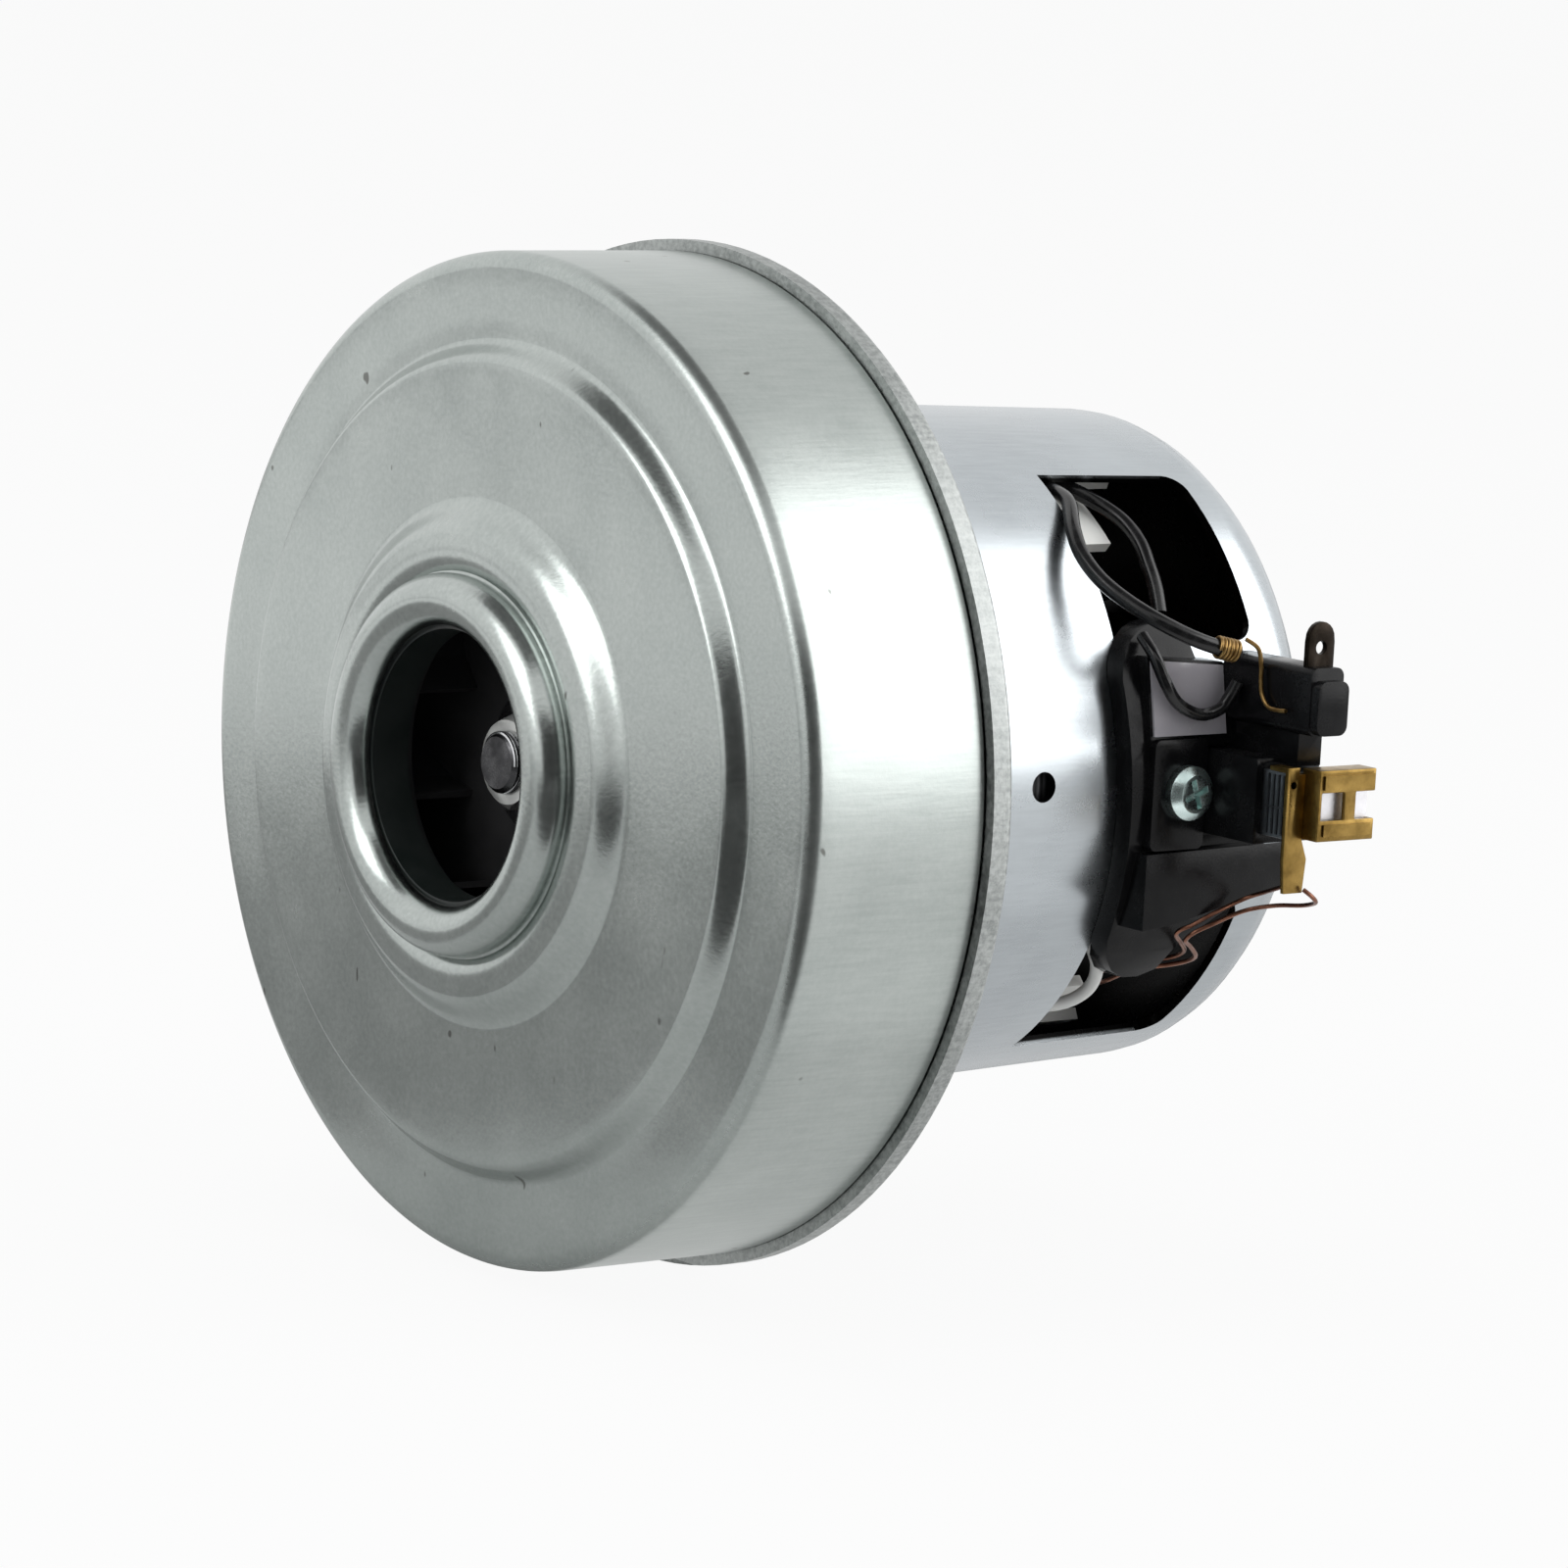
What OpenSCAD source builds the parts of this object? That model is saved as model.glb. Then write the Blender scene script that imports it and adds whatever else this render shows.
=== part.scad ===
// Single-stage vacuum motor unit: fan stage in a drawn steel casing, brushed motor in a drawn yoke.
// Millimetres. The shaft lies along Y, the intake faces -Y and a brush lies on each side along X.
// The origin is on the shaft axis, halfway along the casing band.

/* [Fan casing] */
// Outer radius of the casing band
band_r = 66; // [63:0.5:70]
// Length from the rim face to the flange's front edge
band_len = 28; // [26:0.5:32]
// Sheet thickness of the casing
cover_t = 0.8; // [0.6:0.1:1]
// Bend radius at the rim
rim_bend = 2.3; // [1.5:0.1:3]
// Width of the flat rim with its bend
rim_w = 11.4; // [10:0.2:13]
// Height of the step inside the rim
rim_step = 2.8; // [1.5:0.1:3.5]
// Radial run of the step inside the rim
rim_step_run = 2.9; // [2:0.1:4]
// Further rise of the shallow dish
dish_rise = 0.7; // [0.2:0.1:1.5]
// Distance from the intake hole to the outer edge of the raised ring
ring_w = 11.3; // [10:0.1:13]
// Run of the slope between the raised ring and the dish
ring_slope = 5.2; // [4:0.1:7]
// Rise of the raised ring above the dish
ring_rise = 3.3; // [2:0.1:4]
// Radius of the round intake hole
intake_r = 18; // [16:0.5:19]
// Outside radius of the rolled lip's section
lip_roll = 3.4; // [2.6:0.1:3.8]

/* [Intake seal and fan wheel] */
// Length of the seal's collar
seal_len = 5.6; // [4:0.2:6]
// Wall of the seal's collar
seal_t = 1.2; // [0.8:0.1:1.6]
// Room between the fan wheel and the inside of the band
wheel_room = 9.7; // [8.6:0.1:14]
// Sheet thickness of the wheel's discs and blades
wheel_t = 0.9; // [0.6:0.1:1.2]
// Number of wheel blades
blade_count = 9; // [6:1:11]
// Distance from the band's middle to the front face of the nut
nut_face = 12.2; // [11:0.2:13]
// Width across the nut's flats
nut_flats = 11; // [10:0.5:13]
// Thickness of the nut
nut_t = 5; // [4:0.2:6]
// Thickness of the clamp washer
washer_t = 1.4; // [1:0.1:2]
// Rim width of the clamp washer round the shaft
washer_w = 6; // [4:0.5:8]
// Thickness of the back disc's hub pad
hub_pad_t = 2.8; // [2:0.1:3.2]
// Gap between moving and fixed faces of the fan stage
fan_gap = 1.4; // [0.8:0.1:1.6]
// Running gap between wheel eye and seal
eye_gap = 0.5; // [0.4:0.1:0.8]

/* [Diffuser and bracket] */
// Plate thickness of the diffuser
diffuser_t = 1.8; // [1.2:0.1:2.2]
// Number of diffuser vanes
vane_count = 13; // [9:1:15]
// Sheet thickness of the front bracket
bracket_t = 1.5; // [1.2:0.1:1.6]
// Height of the flange rim behind the band
skirt_len = 3.3; // [2.6:0.1:4]
// Distance from the band's middle to the bracket's sunk plate
bracket_y = 8; // [7:0.2:9]
// Outer radius of the sunk plate
sunk_r = 45; // [42:0.5:46]
// Number of air slots in the bracket
slot_count = 6; // [4:1:8]
// Distance from the yoke wall to the circle of the yoke screws
yoke_screw_out = 5.5; // [5:0.1:6.5]
// Shank radius of the yoke screws
yoke_shank_r = 2; // [1.75:0.25:2.5]
// Shank radius of the diffuser screws
diffuser_shank_r = 1.4; // [1.2:0.1:1.6]
// Number of yoke screws
yoke_screw_count = 4; // [3:1:6]

/* [Yoke] */
// Outer radius of the yoke at the flange
yoke_r = 46.5; // [45:0.5:47]
// Sheet thickness of the yoke
yoke_t = 1.2; // [1:0.1:1.4]
// Loss of radius along the straight wall
yoke_draft = 2.1; // [1.6:0.1:2.4]
// Length of the straight wall from the bracket
yoke_wall_len = 64.6; // [63:0.2:66]
// Length of the rounded shoulder behind the straight wall
shoulder_len = 11.9; // [10:0.1:13]
// Radius of the flat rear face
rear_flat_r = 24; // [22:0.5:27]
// Depth of the groove round the bearing boss
boss_groove = 3.8; // [3:0.1:4.2]
// Height of the bearing boss above the rear flat
boss_h = 3.2; // [2:0.1:5]
// Distance from the bracket to the windows
window_start = 37.2; // [36.6:0.2:38]
// Length of the windows
window_len = 24.7; // [23:0.1:25.4]
// Half of the angle that a pair of windows takes in
window_half = 57.4; // [54:0.2:60]
// Half of the angle of the strap between two windows
strap_half = 22.8; // [21:0.2:24]
// Turn of the windows about the shaft against the brush axis
window_turn = 1.3; // [0:0.1:3]
// Corner radius at the rear of the windows
window_corner = 3; // [2:0.2:4]
// Radius of the locating hole in the yoke wall
pin_hole_r = 2; // [1.5:0.1:2.5]
// Distance from the bracket to the locating hole
pin_hole_y = 22.9; // [20:0.1:26]

/* [Stator] */
// Length of the lamination stack
stack_len = 25; // [22:0.5:26]
// Distance from the bracket to the stack
stack_start = 11; // [10:0.5:13]
// Radius of the stator bore
bore_r = 19.7; // [19:0.1:20.2]
// Half of the width of a pole body
pole_half = 13; // [11:0.5:14]
// Thickness of the stack's back iron
back_iron = 5.5; // [4.5:0.1:6.5]
// Half of the angle that a field coil takes in
coil_angle = 45; // [40:1:48]
// Half of the angle that a pole shoe takes in
shoe_angle = 60; // [55:1:66]
// Overhang of the field coils past the stack
coil_overhang = 7; // [5:0.5:8]

/* [Shaft and bearings] */
// Radius of the shaft in the bearings and in the fan wheel
shaft_r = 4; // [3.5:0.5:4.5]
// Outer radius of the bearings
bearing_r = 11; // [10:0.5:12]
// Width of the bearings
bearing_w = 7; // [6:0.5:7.5]
// Radius of a bearing ball
ball_r = 1.8; // [1.5:0.1:1.9]
// Number of balls in a bearing
ball_count = 7; // [6:1:8]
// Running clearance round balls and cage
race_gap = 0.2; // [0.15:0.05:0.3]

/* [Armature] */
// Air gap between armature and stator
air_gap = 0.5; // [0.4:0.1:0.8]
// Number of armature slots and commutator segments
slot_total = 22; // [18:2:24]
// Overhang of the winding past the core
winding_overhang = 8; // [6:0.5:9]
// Radius of the commutator's brush track
commutator_r = 11.5; // [10.5:0.5:12.5]
// Length of the brush track
track_len = 13.5; // [12:0.5:15]
// Gap between two commutator segments
mica_gap = 0.5; // [0.4:0.1:0.6]

/* [Brush gear] */
// Outer size of the brush tube along the shaft
tube_y = 8.4; // [8:0.2:9]
// Outer height of the brush tube
tube_z = 8.7; // [8.2:0.1:9.2]
// Wall of the brush tube
tube_t = 0.6; // [0.4:0.1:0.8]
// Distance from the window's front edge to the tube
tube_setback = 11.5; // [11:0.1:13]
// Distance from the shaft axis to the tube's inner end
tube_inner = 15; // [14:0.2:17]
// Length of the tube past the holder's flat face
tube_reach = 14; // [12:0.2:16]
// Clearance of the brush in its tube
brush_gap = 0.15; // [0.1:0.05:0.3]
// Length of a new carbon brush
brush_len = 30; // [26:1:33]
// Gap between brush and commutator
brush_lift = 0.2; // [0.15:0.05:0.3]
// Wire radius of the brush spring
spring_wire = 0.35; // [0.3:0.05:0.45]
// Number of turns of the brush spring
spring_turns = 11; // [8:1:13]
// Thickness of the holder's saddle on the yoke
saddle_t = 3; // [2.4:0.1:3.4]
// Height of the holder's flat face above the rear of the yoke wall
face_rise = 5.2; // [4.6:0.1:6]
// Length of the tube's shroud past the holder's flat face
shroud_reach = 9.4; // [7:0.2:11]
// Wall of the shroud round the tube
shroud_t = 1.2; // [1:0.1:1.4]
// Length of the terminal block past the holder's flat face
block_reach = 16.6; // [14:0.2:18]
// Height of the terminal block above the brush axis
block_z = 9; // [8.4:0.1:10]
// Size of the terminal block along the shaft
block_y = 5.6; // [5:0.1:6]
// Height of the terminal block
block_h = 7.4; // [6.5:0.1:8]
// Sheet thickness of the brass clip and strip
brass_t = 0.6; // [0.4:0.1:0.8]
// Width of the lead tab
tab_w = 4.5; // [4:0.1:5]
// Radius of the hole in the lead tab
tab_hole_r = 0.85; // [0.7:0.05:1]
// Shank radius of the holder screws
holder_shank_r = 1.5; // [1.25:0.25:2]
// Head radius of the holder screws
holder_head_r = 3.6; // [3:0.2:4]

/* [Leads] */
// Radius of the black leads
lead_r = 1.05; // [0.9:0.05:1.2]
// Radius of the white sleeve
sleeve_r = 0.9; // [0.7:0.05:1]
// Radius of the copper winding ends
copper_r = 0.3; // [0.25:0.05:0.35]

/* [Hidden] */
$fn = 96;

steel = [0.68, 0.71, 0.7];
bright = [0.8, 0.82, 0.84];
black = [0.06, 0.06, 0.065];
copper = [0.72, 0.38, 0.2];
brass = [0.72, 0.54, 0.2];

small = 0.01;
seat_gap = 0.02;
sheet_gap = 0.05;

// Stations along the shaft
rim_y = -band_len / 2;
skirt_y = band_len / 2;
flange_y = skirt_y + skirt_len;
flange_r = band_r + bracket_t;
wheel_r = band_r - cover_t - wheel_room;
rim_flat_r = band_r - rim_w;
ring_r = intake_r + ring_w;
dish_r = ring_r + ring_slope;
washer_r = shaft_r + washer_w;
dish_y = rim_y - rim_step;
ring_y = dish_y - dish_rise - ring_rise;
lip_c = [intake_r + lip_roll, ring_y - 0.3];
nut_y = -nut_face;
washer_y = nut_y + nut_t;
pad_y = washer_y + washer_t;
back_disc_y = pad_y + hub_pad_t - wheel_t;
wheel_rear_y = back_disc_y + wheel_t;
diffuser_y = wheel_rear_y + fan_gap;
bearing_front_y = bracket_y + 1;
stack_y = flange_y + stack_start;
stack_end_y = stack_y + stack_len;
yoke_screw_r = yoke_r + yoke_screw_out;
yoke_flange_r = yoke_screw_r + yoke_shank_r + 3;
yoke_wall_end = flange_y + yoke_wall_len;
yoke_end_r = yoke_r - yoke_draft;
rear_y = yoke_wall_end + shoulder_len;
boss_r = bearing_r + seat_gap + yoke_t;
boss_end_y = rear_y + boss_h;
bearing_rear_y = boss_end_y - yoke_t - 0.6 - bearing_w;
window_y = flange_y + window_start;
window_end_y = window_y + window_len;
winding_end_y = stack_end_y + winding_overhang;
riser_y = winding_end_y + 2;
track_y = riser_y + 3;
track_end_y = track_y + track_len;
tube_y0 = window_y + tube_setback;
tube_y1 = tube_y0 + tube_y;
tube_mid_y = tube_y0 + tube_y / 2;
holder_face = yoke_end_r + face_rise;
tube_outer = holder_face + tube_reach;
shroud_end = holder_face + shroud_reach;
block_end = holder_face + block_reach;
eye_r = intake_r + 0.8;
seal_rear_y = lip_c[1] + small + seal_len;
eye_y = seal_rear_y + eye_gap;

function yoke_r_at(y) = yoke_r - yoke_draft * (y - flange_y) / yoke_wall_len;

// Outline helpers
function unit(v) = v / norm(v);
function left(v) = [-v[1], v[0]];
function arc(c, r, a0, a1, n = 6) =
    [for (i = [0:n]) c + r * [cos(a0 + (a1 - a0) * i / n), sin(a0 + (a1 - a0) * i / n)]];
function oval(c, rx, ry, a0, a1, n = 10) =
    [for (i = [0:n]) let (a = a0 + (a1 - a0) * i / n) c + [rx * cos(a), ry * sin(a)]];
function ease(p, q, n = 8) =
    [for (i = [0:n]) let (s = i / n) [p[0] + (q[0] - p[0]) * s, p[1] + (q[1] - p[1]) * (1 - cos(180 * s)) / 2]];
function shifted(p, d) = [for (i = [0:len(p) - 1])
    let (a = left(unit(i == 0 ? p[1] - p[0] : p[i] - p[i - 1])),
         b = left(unit(i == len(p) - 1 ? p[i] - p[i - 1] : p[i + 1] - p[i])))
    p[i] + d * (a + b) / (1 + a * b)];
function reversed(p) = [for (i = [len(p) - 1:-1:0]) p[i]];
function sheet(p, t) = concat(p, reversed(shifted(p, t)));
function round_rect(x0, x1, y0, y1, r) = concat(
    arc([x1 - r, y0 + r], r, -90, 0), arc([x1 - r, y1 - r], r, 0, 90),
    arc([x0 + r, y1 - r], r, 90, 180), arc([x0 + r, y0 + r], r, 180, 270));
function sector(r, a0, a1) = concat([[0, 0]],
    [for (i = [0:4]) let (a = a0 + (a1 - a0) * i / 4) r / cos((a1 - a0) / 8) * [cos(a), sin(a)]]);

// Solid helpers
module turned(p) { rotate([-90, 0, 0]) rotate_extrude() polygon(p); }
module ring(r_out, r_in, y0, y1) { turned([[r_in, y0], [r_out, y0], [r_out, y1], [r_in, y1]]); }
module along_y(y0, y1) { translate([0, y1, 0]) rotate([90, 0, 0]) linear_extrude(y1 - y0) children(); }
module along_x(x0, x1) { translate([x0, 0, 0]) rotate([90, 0, 90]) linear_extrude(x1 - x0) children(); }
module along_z(z0, z1) { translate([0, 0, z0]) linear_extrude(z1 - z0) children(); }
module at_angle(a) { rotate([0, -a, 0]) children(); }
module other_side() { rotate([0, 180, 0]) children(); }
module spun(count, start = 0) { for (i = [0:count - 1]) at_angle(start + i * 360 / count) children(); }

// Round wires: a smooth curve through hand-chosen points, swept with a frame carried along it
function curve_point(a, b, c, d, t) =
    0.5 * (2 * b + (c - a) * t + (2 * a - 5 * b + 4 * c - d) * t * t + (3 * b - a - 3 * c + d) * t * t * t);
function smooth(p, n = 3) = concat(
    [for (i = [0:len(p) - 2]) for (k = [0:n - 1])
        curve_point(p[max(i - 1, 0)], p[i], p[i + 1], p[min(i + 2, len(p) - 1)], k / n)],
    [p[len(p) - 1]]);
function heading(p, i) = unit(p[min(i + 1, len(p) - 1)] - p[max(i - 1, 0)]);
function square_to(u, t) = unit(u - t * (u * t));
function first_side(t) = square_to(abs(t[2]) < 0.8 ? [0, 0, 1] : [1, 0, 0], t);
function sides_along(p) =
    [for (i = 0, u = first_side(heading(p, 0)); i < len(p);
          i = i + 1, u = i < len(p) ? square_to(u, heading(p, i)) : u) u];
module wire(p, r, sides = 8) {
    u = sides_along(p);
    n = len(p);
    points = [for (i = [0:n - 1]) let (v = cross(heading(p, i), u[i])) for (k = [0:sides - 1])
        p[i] + r * (cos(360 * k / sides) * u[i] + sin(360 * k / sides) * v)];
    walls = [for (i = [0:n - 2]) for (k = [0:sides - 1]) let (m = (k + 1) % sides)
        each [[(i + 1) * sides + k, (i + 1) * sides + m, i * sides + m],
              [(i + 1) * sides + k, i * sides + m, i * sides + k]]];
    caps = [[for (k = [0:sides - 1]) k], [for (k = [sides - 1:-1:0]) (n - 1) * sides + k]];
    polyhedron(points, concat(walls, caps));
}

// Fan casing

// The tail behind the band is narrower and bottoms in the bracket's skirt
tail_r = band_r - 1.2;
cover_line = concat(
    [[tail_r, flange_y - bracket_t - seat_gap], [tail_r, skirt_y + 0.2], [band_r, skirt_y - 0.3]],
    arc([band_r - rim_bend, rim_y + rim_bend], rim_bend, 0, -90),
    ease([rim_flat_r, rim_y], [rim_flat_r - rim_step_run, dish_y]),
    [[dish_r, dish_y - dish_rise]],
    ease([dish_r - 0.4, dish_y - dish_rise], [ring_r, ring_y + 0.5]),
    [[lip_c[0] + lip_roll + 1.2, ring_y], [lip_c[0] + lip_roll + 0.4, ring_y + 0.3]],
    arc(lip_c, lip_roll, 0, -180, 16));

module fan_cover() {
    color(steel) turned(sheet(cover_line, -cover_t));
}

// The collar lines the lip, and its rear rim seats behind the casing sheet
module intake_seal() {
    bore = intake_r - 0.4;
    collar_y = lip_c[1] + small;
    rim_front = dish_y - dish_rise + cover_t + 0.06;
    color([0.08, 0.11, 0.1]) turned([
        [bore, collar_y], [bore + seal_t + 0.6, collar_y], [bore + seal_t + 0.6, rim_front],
        [dish_r + 1.5, rim_front], [dish_r + 1.5, seal_rear_y], [bore, seal_rear_y]]);
}

// Fan wheel

front_disc_line = [
    [wheel_r, nut_y + 0.6], [eye_r + 9, eye_y + 1.8], [eye_r + 4, eye_y + 0.9],
    [eye_r + 1.4, eye_y + 0.1], [eye_r, eye_y]];

module wheel_front_disc() {
    color(black) turned(sheet(front_disc_line, -wheel_t));
}

module wheel_back_disc() {
    color(black) turned([
        [shaft_r + seat_gap, pad_y], [9, pad_y], [12, back_disc_y], [wheel_r, back_disc_y],
        [wheel_r, wheel_rear_y], [shaft_r + seat_gap, wheel_rear_y]]);
}

function blade_line() = [for (i = [0:8]) let (s = i / 8, r = 20 + (wheel_r - 20.6) * s)
    r * [cos(-52 * s), sin(-52 * s)]];

module wheel_blades() {
    inner = reversed(shifted(front_disc_line, -wheel_t - seat_gap));
    room = concat([[eye_r + 0.2, back_disc_y - seat_gap]], inner, [[wheel_r, back_disc_y - seat_gap]]);
    color(black) spun(blade_count) intersection() {
        along_y(eye_y, back_disc_y) polygon(sheet(blade_line(), wheel_t));
        turned(room);
    }
}

module wheel_washer() {
    color(steel) ring(washer_r, shaft_r + seat_gap, washer_y, pad_y - seat_gap);
}

module wheel_nut() {
    corner_r = nut_flats / 2 / cos(30);
    chamfer = corner_r - nut_flats / 2;
    color(bright) difference() {
        intersection() {
            rotate([-90, 0, 0]) translate([0, 0, nut_y]) rotate(30) cylinder(nut_t - seat_gap, r = corner_r, $fn = 6);
            turned([[0, nut_y], [nut_flats / 2, nut_y], [corner_r, nut_y + chamfer],
                [corner_r, washer_y], [0, washer_y]]);
        }
        ring(shaft_r + seat_gap, 0, nut_y - 1, washer_y + 1);
    }
}

module spacer_sleeve() {
    color(steel) ring(shaft_r + 2, shaft_r + seat_gap, wheel_rear_y + seat_gap, bearing_front_y - seat_gap);
}

// Diffuser

vane_end_y = bracket_y - 0.3;
module diffuser() {
    plate_end = diffuser_y + diffuser_t;
    plate_r = wheel_r + 4.5;
    vane_out = band_r - cover_t - 0.8;
    color(black) difference() {
        union() {
            ring(plate_r, shaft_r + 8, diffuser_y, plate_end);
            spun(vane_count) along_y(rim_y + cover_t + 0.4, plate_end)
                polygon(sheet([for (i = [0:5]) (wheel_r + 2.2 + (vane_out - wheel_r - 2.2) * i / 5)
                    * [cos(-i * 4.4), sin(-i * 4.4)]], -1.2));
            spun(vane_count) along_y(diffuser_y, vane_end_y)
                polygon(sheet([for (i = [0:6]) (20 + (plate_r - 21) * i / 6)
                    * [cos(i * 5), sin(i * 5)]], 1.4));
            spun(3, 90) translate([diffuser_screw_r, 0, 0])
                ring(diffuser_shank_r * 2.8, 0, diffuser_y, vane_end_y);
        }
        spun(3, 90) translate([diffuser_screw_r, 0, 0]) ring(diffuser_shank_r, 0, plate_end + 1, vane_end_y + 1);
    }
}

diffuser_screw_r = bearing_r + bracket_t + diffuser_shank_r * 1.7 + 0.9;
module diffuser_screws() {
    color(steel) spun(3, 90) translate([diffuser_screw_r, 0, 0]) {
        ring(diffuser_shank_r, 0, vane_end_y - 4, bracket_y + bracket_t + small);
        ring(diffuser_shank_r * 1.7, 0, bracket_y + bracket_t, bracket_y + bracket_t + diffuser_shank_r * 1.2);
    }
}

// Front bracket

seat_r = bearing_r + seat_gap;
bracket_line = concat(
    [[flange_r, skirt_y]],
    arc([flange_r - 1, flange_y - 1], 1, 0, 90),
    ease([sunk_r + 5, flange_y], [sunk_r, bracket_y + bracket_t], 5),
    [[seat_r + bracket_t + 0.6, bracket_y + bracket_t], [seat_r + bracket_t, bracket_y + bracket_t + 0.6]],
    [[seat_r + bracket_t, bearing_front_y + bearing_w + bracket_t],
     [seat_r - 2, bearing_front_y + bearing_w + bracket_t]]);

module front_bracket() {
    color(steel) difference() {
        union() {
            turned(sheet(bracket_line, bracket_t));
            spun(yoke_screw_count, 45) translate([yoke_screw_r, 0, 0])
                ring(yoke_shank_r + bracket_t, 0, flange_y - bracket_t - 2.6, flange_y - bracket_t + small);
        }
        spun(yoke_screw_count, 45) translate([yoke_screw_r, 0, 0]) ring(yoke_shank_r, 0, 0, flange_y + 1);
        spun(slot_count, 30) along_y(bracket_y - 1, bracket_y + bracket_t + 1) polygon(concat(
            arc([0, 0], sunk_r - 6, -19, 19), arc([0, 0], seat_r + 10, 19, -19)));
        spun(3, 90) translate([diffuser_screw_r, 0, 0])
            ring(diffuser_shank_r + 0.1, 0, bracket_y - 1, bracket_y + bracket_t + 1);
    }
}

// Yoke

yoke_line = concat(
    [[yoke_flange_r, flange_y + yoke_t]],
    arc([yoke_r_at(flange_y + yoke_t + 2) + 2, flange_y + yoke_t + 2], 2, 270, 180, 4),
    oval([rear_flat_r, yoke_wall_end], yoke_end_r - rear_flat_r, shoulder_len, 0, 90),
    [[boss_r + 5, rear_y], [boss_r + 3.4, rear_y - boss_groove],
     [boss_r + 1, rear_y - boss_groove], [boss_r, rear_y - boss_groove + 1],
     [boss_r, boss_end_y - 1], [boss_r - 1, boss_end_y], [shaft_r + 1.5, boss_end_y]]);

// What a rounded corner leaves of a square one: end is the far edge, the side lies on the first axis
module corner_fill(end, r) {
    round = arc([end - r, r], r, -4, -86, 5);
    polygon(concat([[end + 1, round[0][1]]], round, [[round[5][0], -1], [end + 1, -1]]));
}

module window_cut(a0, a1) {
    outer = yoke_r + 4;
    difference() {
        along_y(window_y, window_end_y) polygon(sector(outer, a0, a1));
        ring(yoke_end_r - 8, 0, window_y - 1, window_end_y + 1);
        for (side = [0, 1]) at_angle(side == 0 ? a0 : a1) along_x(yoke_end_r - 9, outer + 2)
            mirror([0, side]) corner_fill(window_end_y, window_corner);
    }
}

module yoke() {
    color(bright) difference() {
        turned(sheet(yoke_line, yoke_t));
        for (side = [0, 180]) at_angle(side + window_turn) {
            window_cut(strap_half, window_half);
            window_cut(-window_half, -strap_half);
            along_x(yoke_end_r - 6, yoke_r + 2) translate([flange_y + pin_hole_y, 0]) circle(pin_hole_r);
        }
        for (side = [0, 180]) at_angle(side) {
            along_x(yoke_end_r - 8, yoke_r + 2) translate([tube_y0 - neck_t - 0.3, -tube_z / 2 - neck_t - 0.3])
                square([tube_y + 2 * neck_t + 0.6, tube_z + 2 * neck_t + 0.6]);
            along_x(yoke_end_r - 6, yoke_r + 2) translate([holder_screw_y, 0]) circle(holder_shank_r + small);
        }
        spun(yoke_screw_count, 45) translate([yoke_screw_r, 0, 0])
            ring(yoke_shank_r + 0.2, 0, flange_y - 1, flange_y + 3);
    }
}

// Pan head with a cross recess, pointing along -Z, its seat at z = 0
module pan_head(r, h) {
    difference() {
        union() {
            cylinder(h * 0.55, r = r, $fn = 48);
            translate([0, 0, h * 0.55]) cylinder(h * 0.45, r1 = r, r2 = r * 0.7, $fn = 48);
        }
        for (a = [0, 90]) rotate(a) translate([-r * 0.55, -r * 0.11, h * 0.45]) cube([r * 1.1, r * 0.22, h]);
    }
}

module yoke_screws() {
    head_y = flange_y + yoke_t;
    color(steel) spun(yoke_screw_count, 45) translate([yoke_screw_r, 0, 0]) {
        translate([0, head_y, 0]) rotate([-90, 0, 0]) pan_head(yoke_shank_r * 1.8, yoke_shank_r * 1.2);
        ring(yoke_shank_r - small, 0, flange_y - bracket_t - 3.6, head_y + small);
    }
}

// Stator

stack_r = yoke_r_at(stack_end_y) - yoke_t - sheet_gap;
back_iron_r = stack_r - back_iron;
shoe_r = bore_r + 3.2;
module stator_core() {
    color([0.45, 0.46, 0.47]) difference() {
        union() {
            ring(stack_r, back_iron_r, stack_y, stack_end_y);
            for (side = [90, 270]) at_angle(side) {
                along_y(stack_y, stack_end_y) translate([bore_r - 4, -pole_half])
                    square([back_iron_r - bore_r + 5, 2 * pole_half]);
                intersection() {
                    ring(shoe_r, bore_r - 1, stack_y, stack_end_y);
                    along_y(stack_y, stack_end_y) polygon(sector(shoe_r, -shoe_angle, shoe_angle));
                }
            }
        }
        ring(bore_r, 0, stack_y - 1, stack_end_y + 1);
    }
}

module coil_arch(y0, y1, r_in, r_out, half) {
    intersection() {
        ring(r_out, r_in, y0, y1);
        along_y(y0, y1) translate([shoe_r * 0.5, -half]) square([stack_r, 2 * half]);
    }
}

module field_coil() {
    r_in = shoe_r + 0.6;
    r_out = back_iron_r - 0.4;
    half = r_out * sin(coil_angle);
    difference() {
        union() {
            coil_arch(stack_y - coil_overhang, stack_y - 0.6, r_in + 1.5, r_out, half);
            coil_arch(stack_end_y + 0.6, stack_end_y + coil_overhang, r_in + 1.5, r_out, half);
            coil_arch(stack_y - coil_overhang, stack_end_y + coil_overhang, r_in, r_out, half);
        }
        along_y(stack_y - 0.6, stack_end_y + 0.6) translate([0, -pole_half - 0.6])
            square([stack_r, 2 * pole_half + 1.2]);
    }
}
module field_coil_upper() { color(copper * 0.45) at_angle(90) field_coil(); }
module field_coil_lower() { color(copper * 0.45) at_angle(270) field_coil(); }

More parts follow.
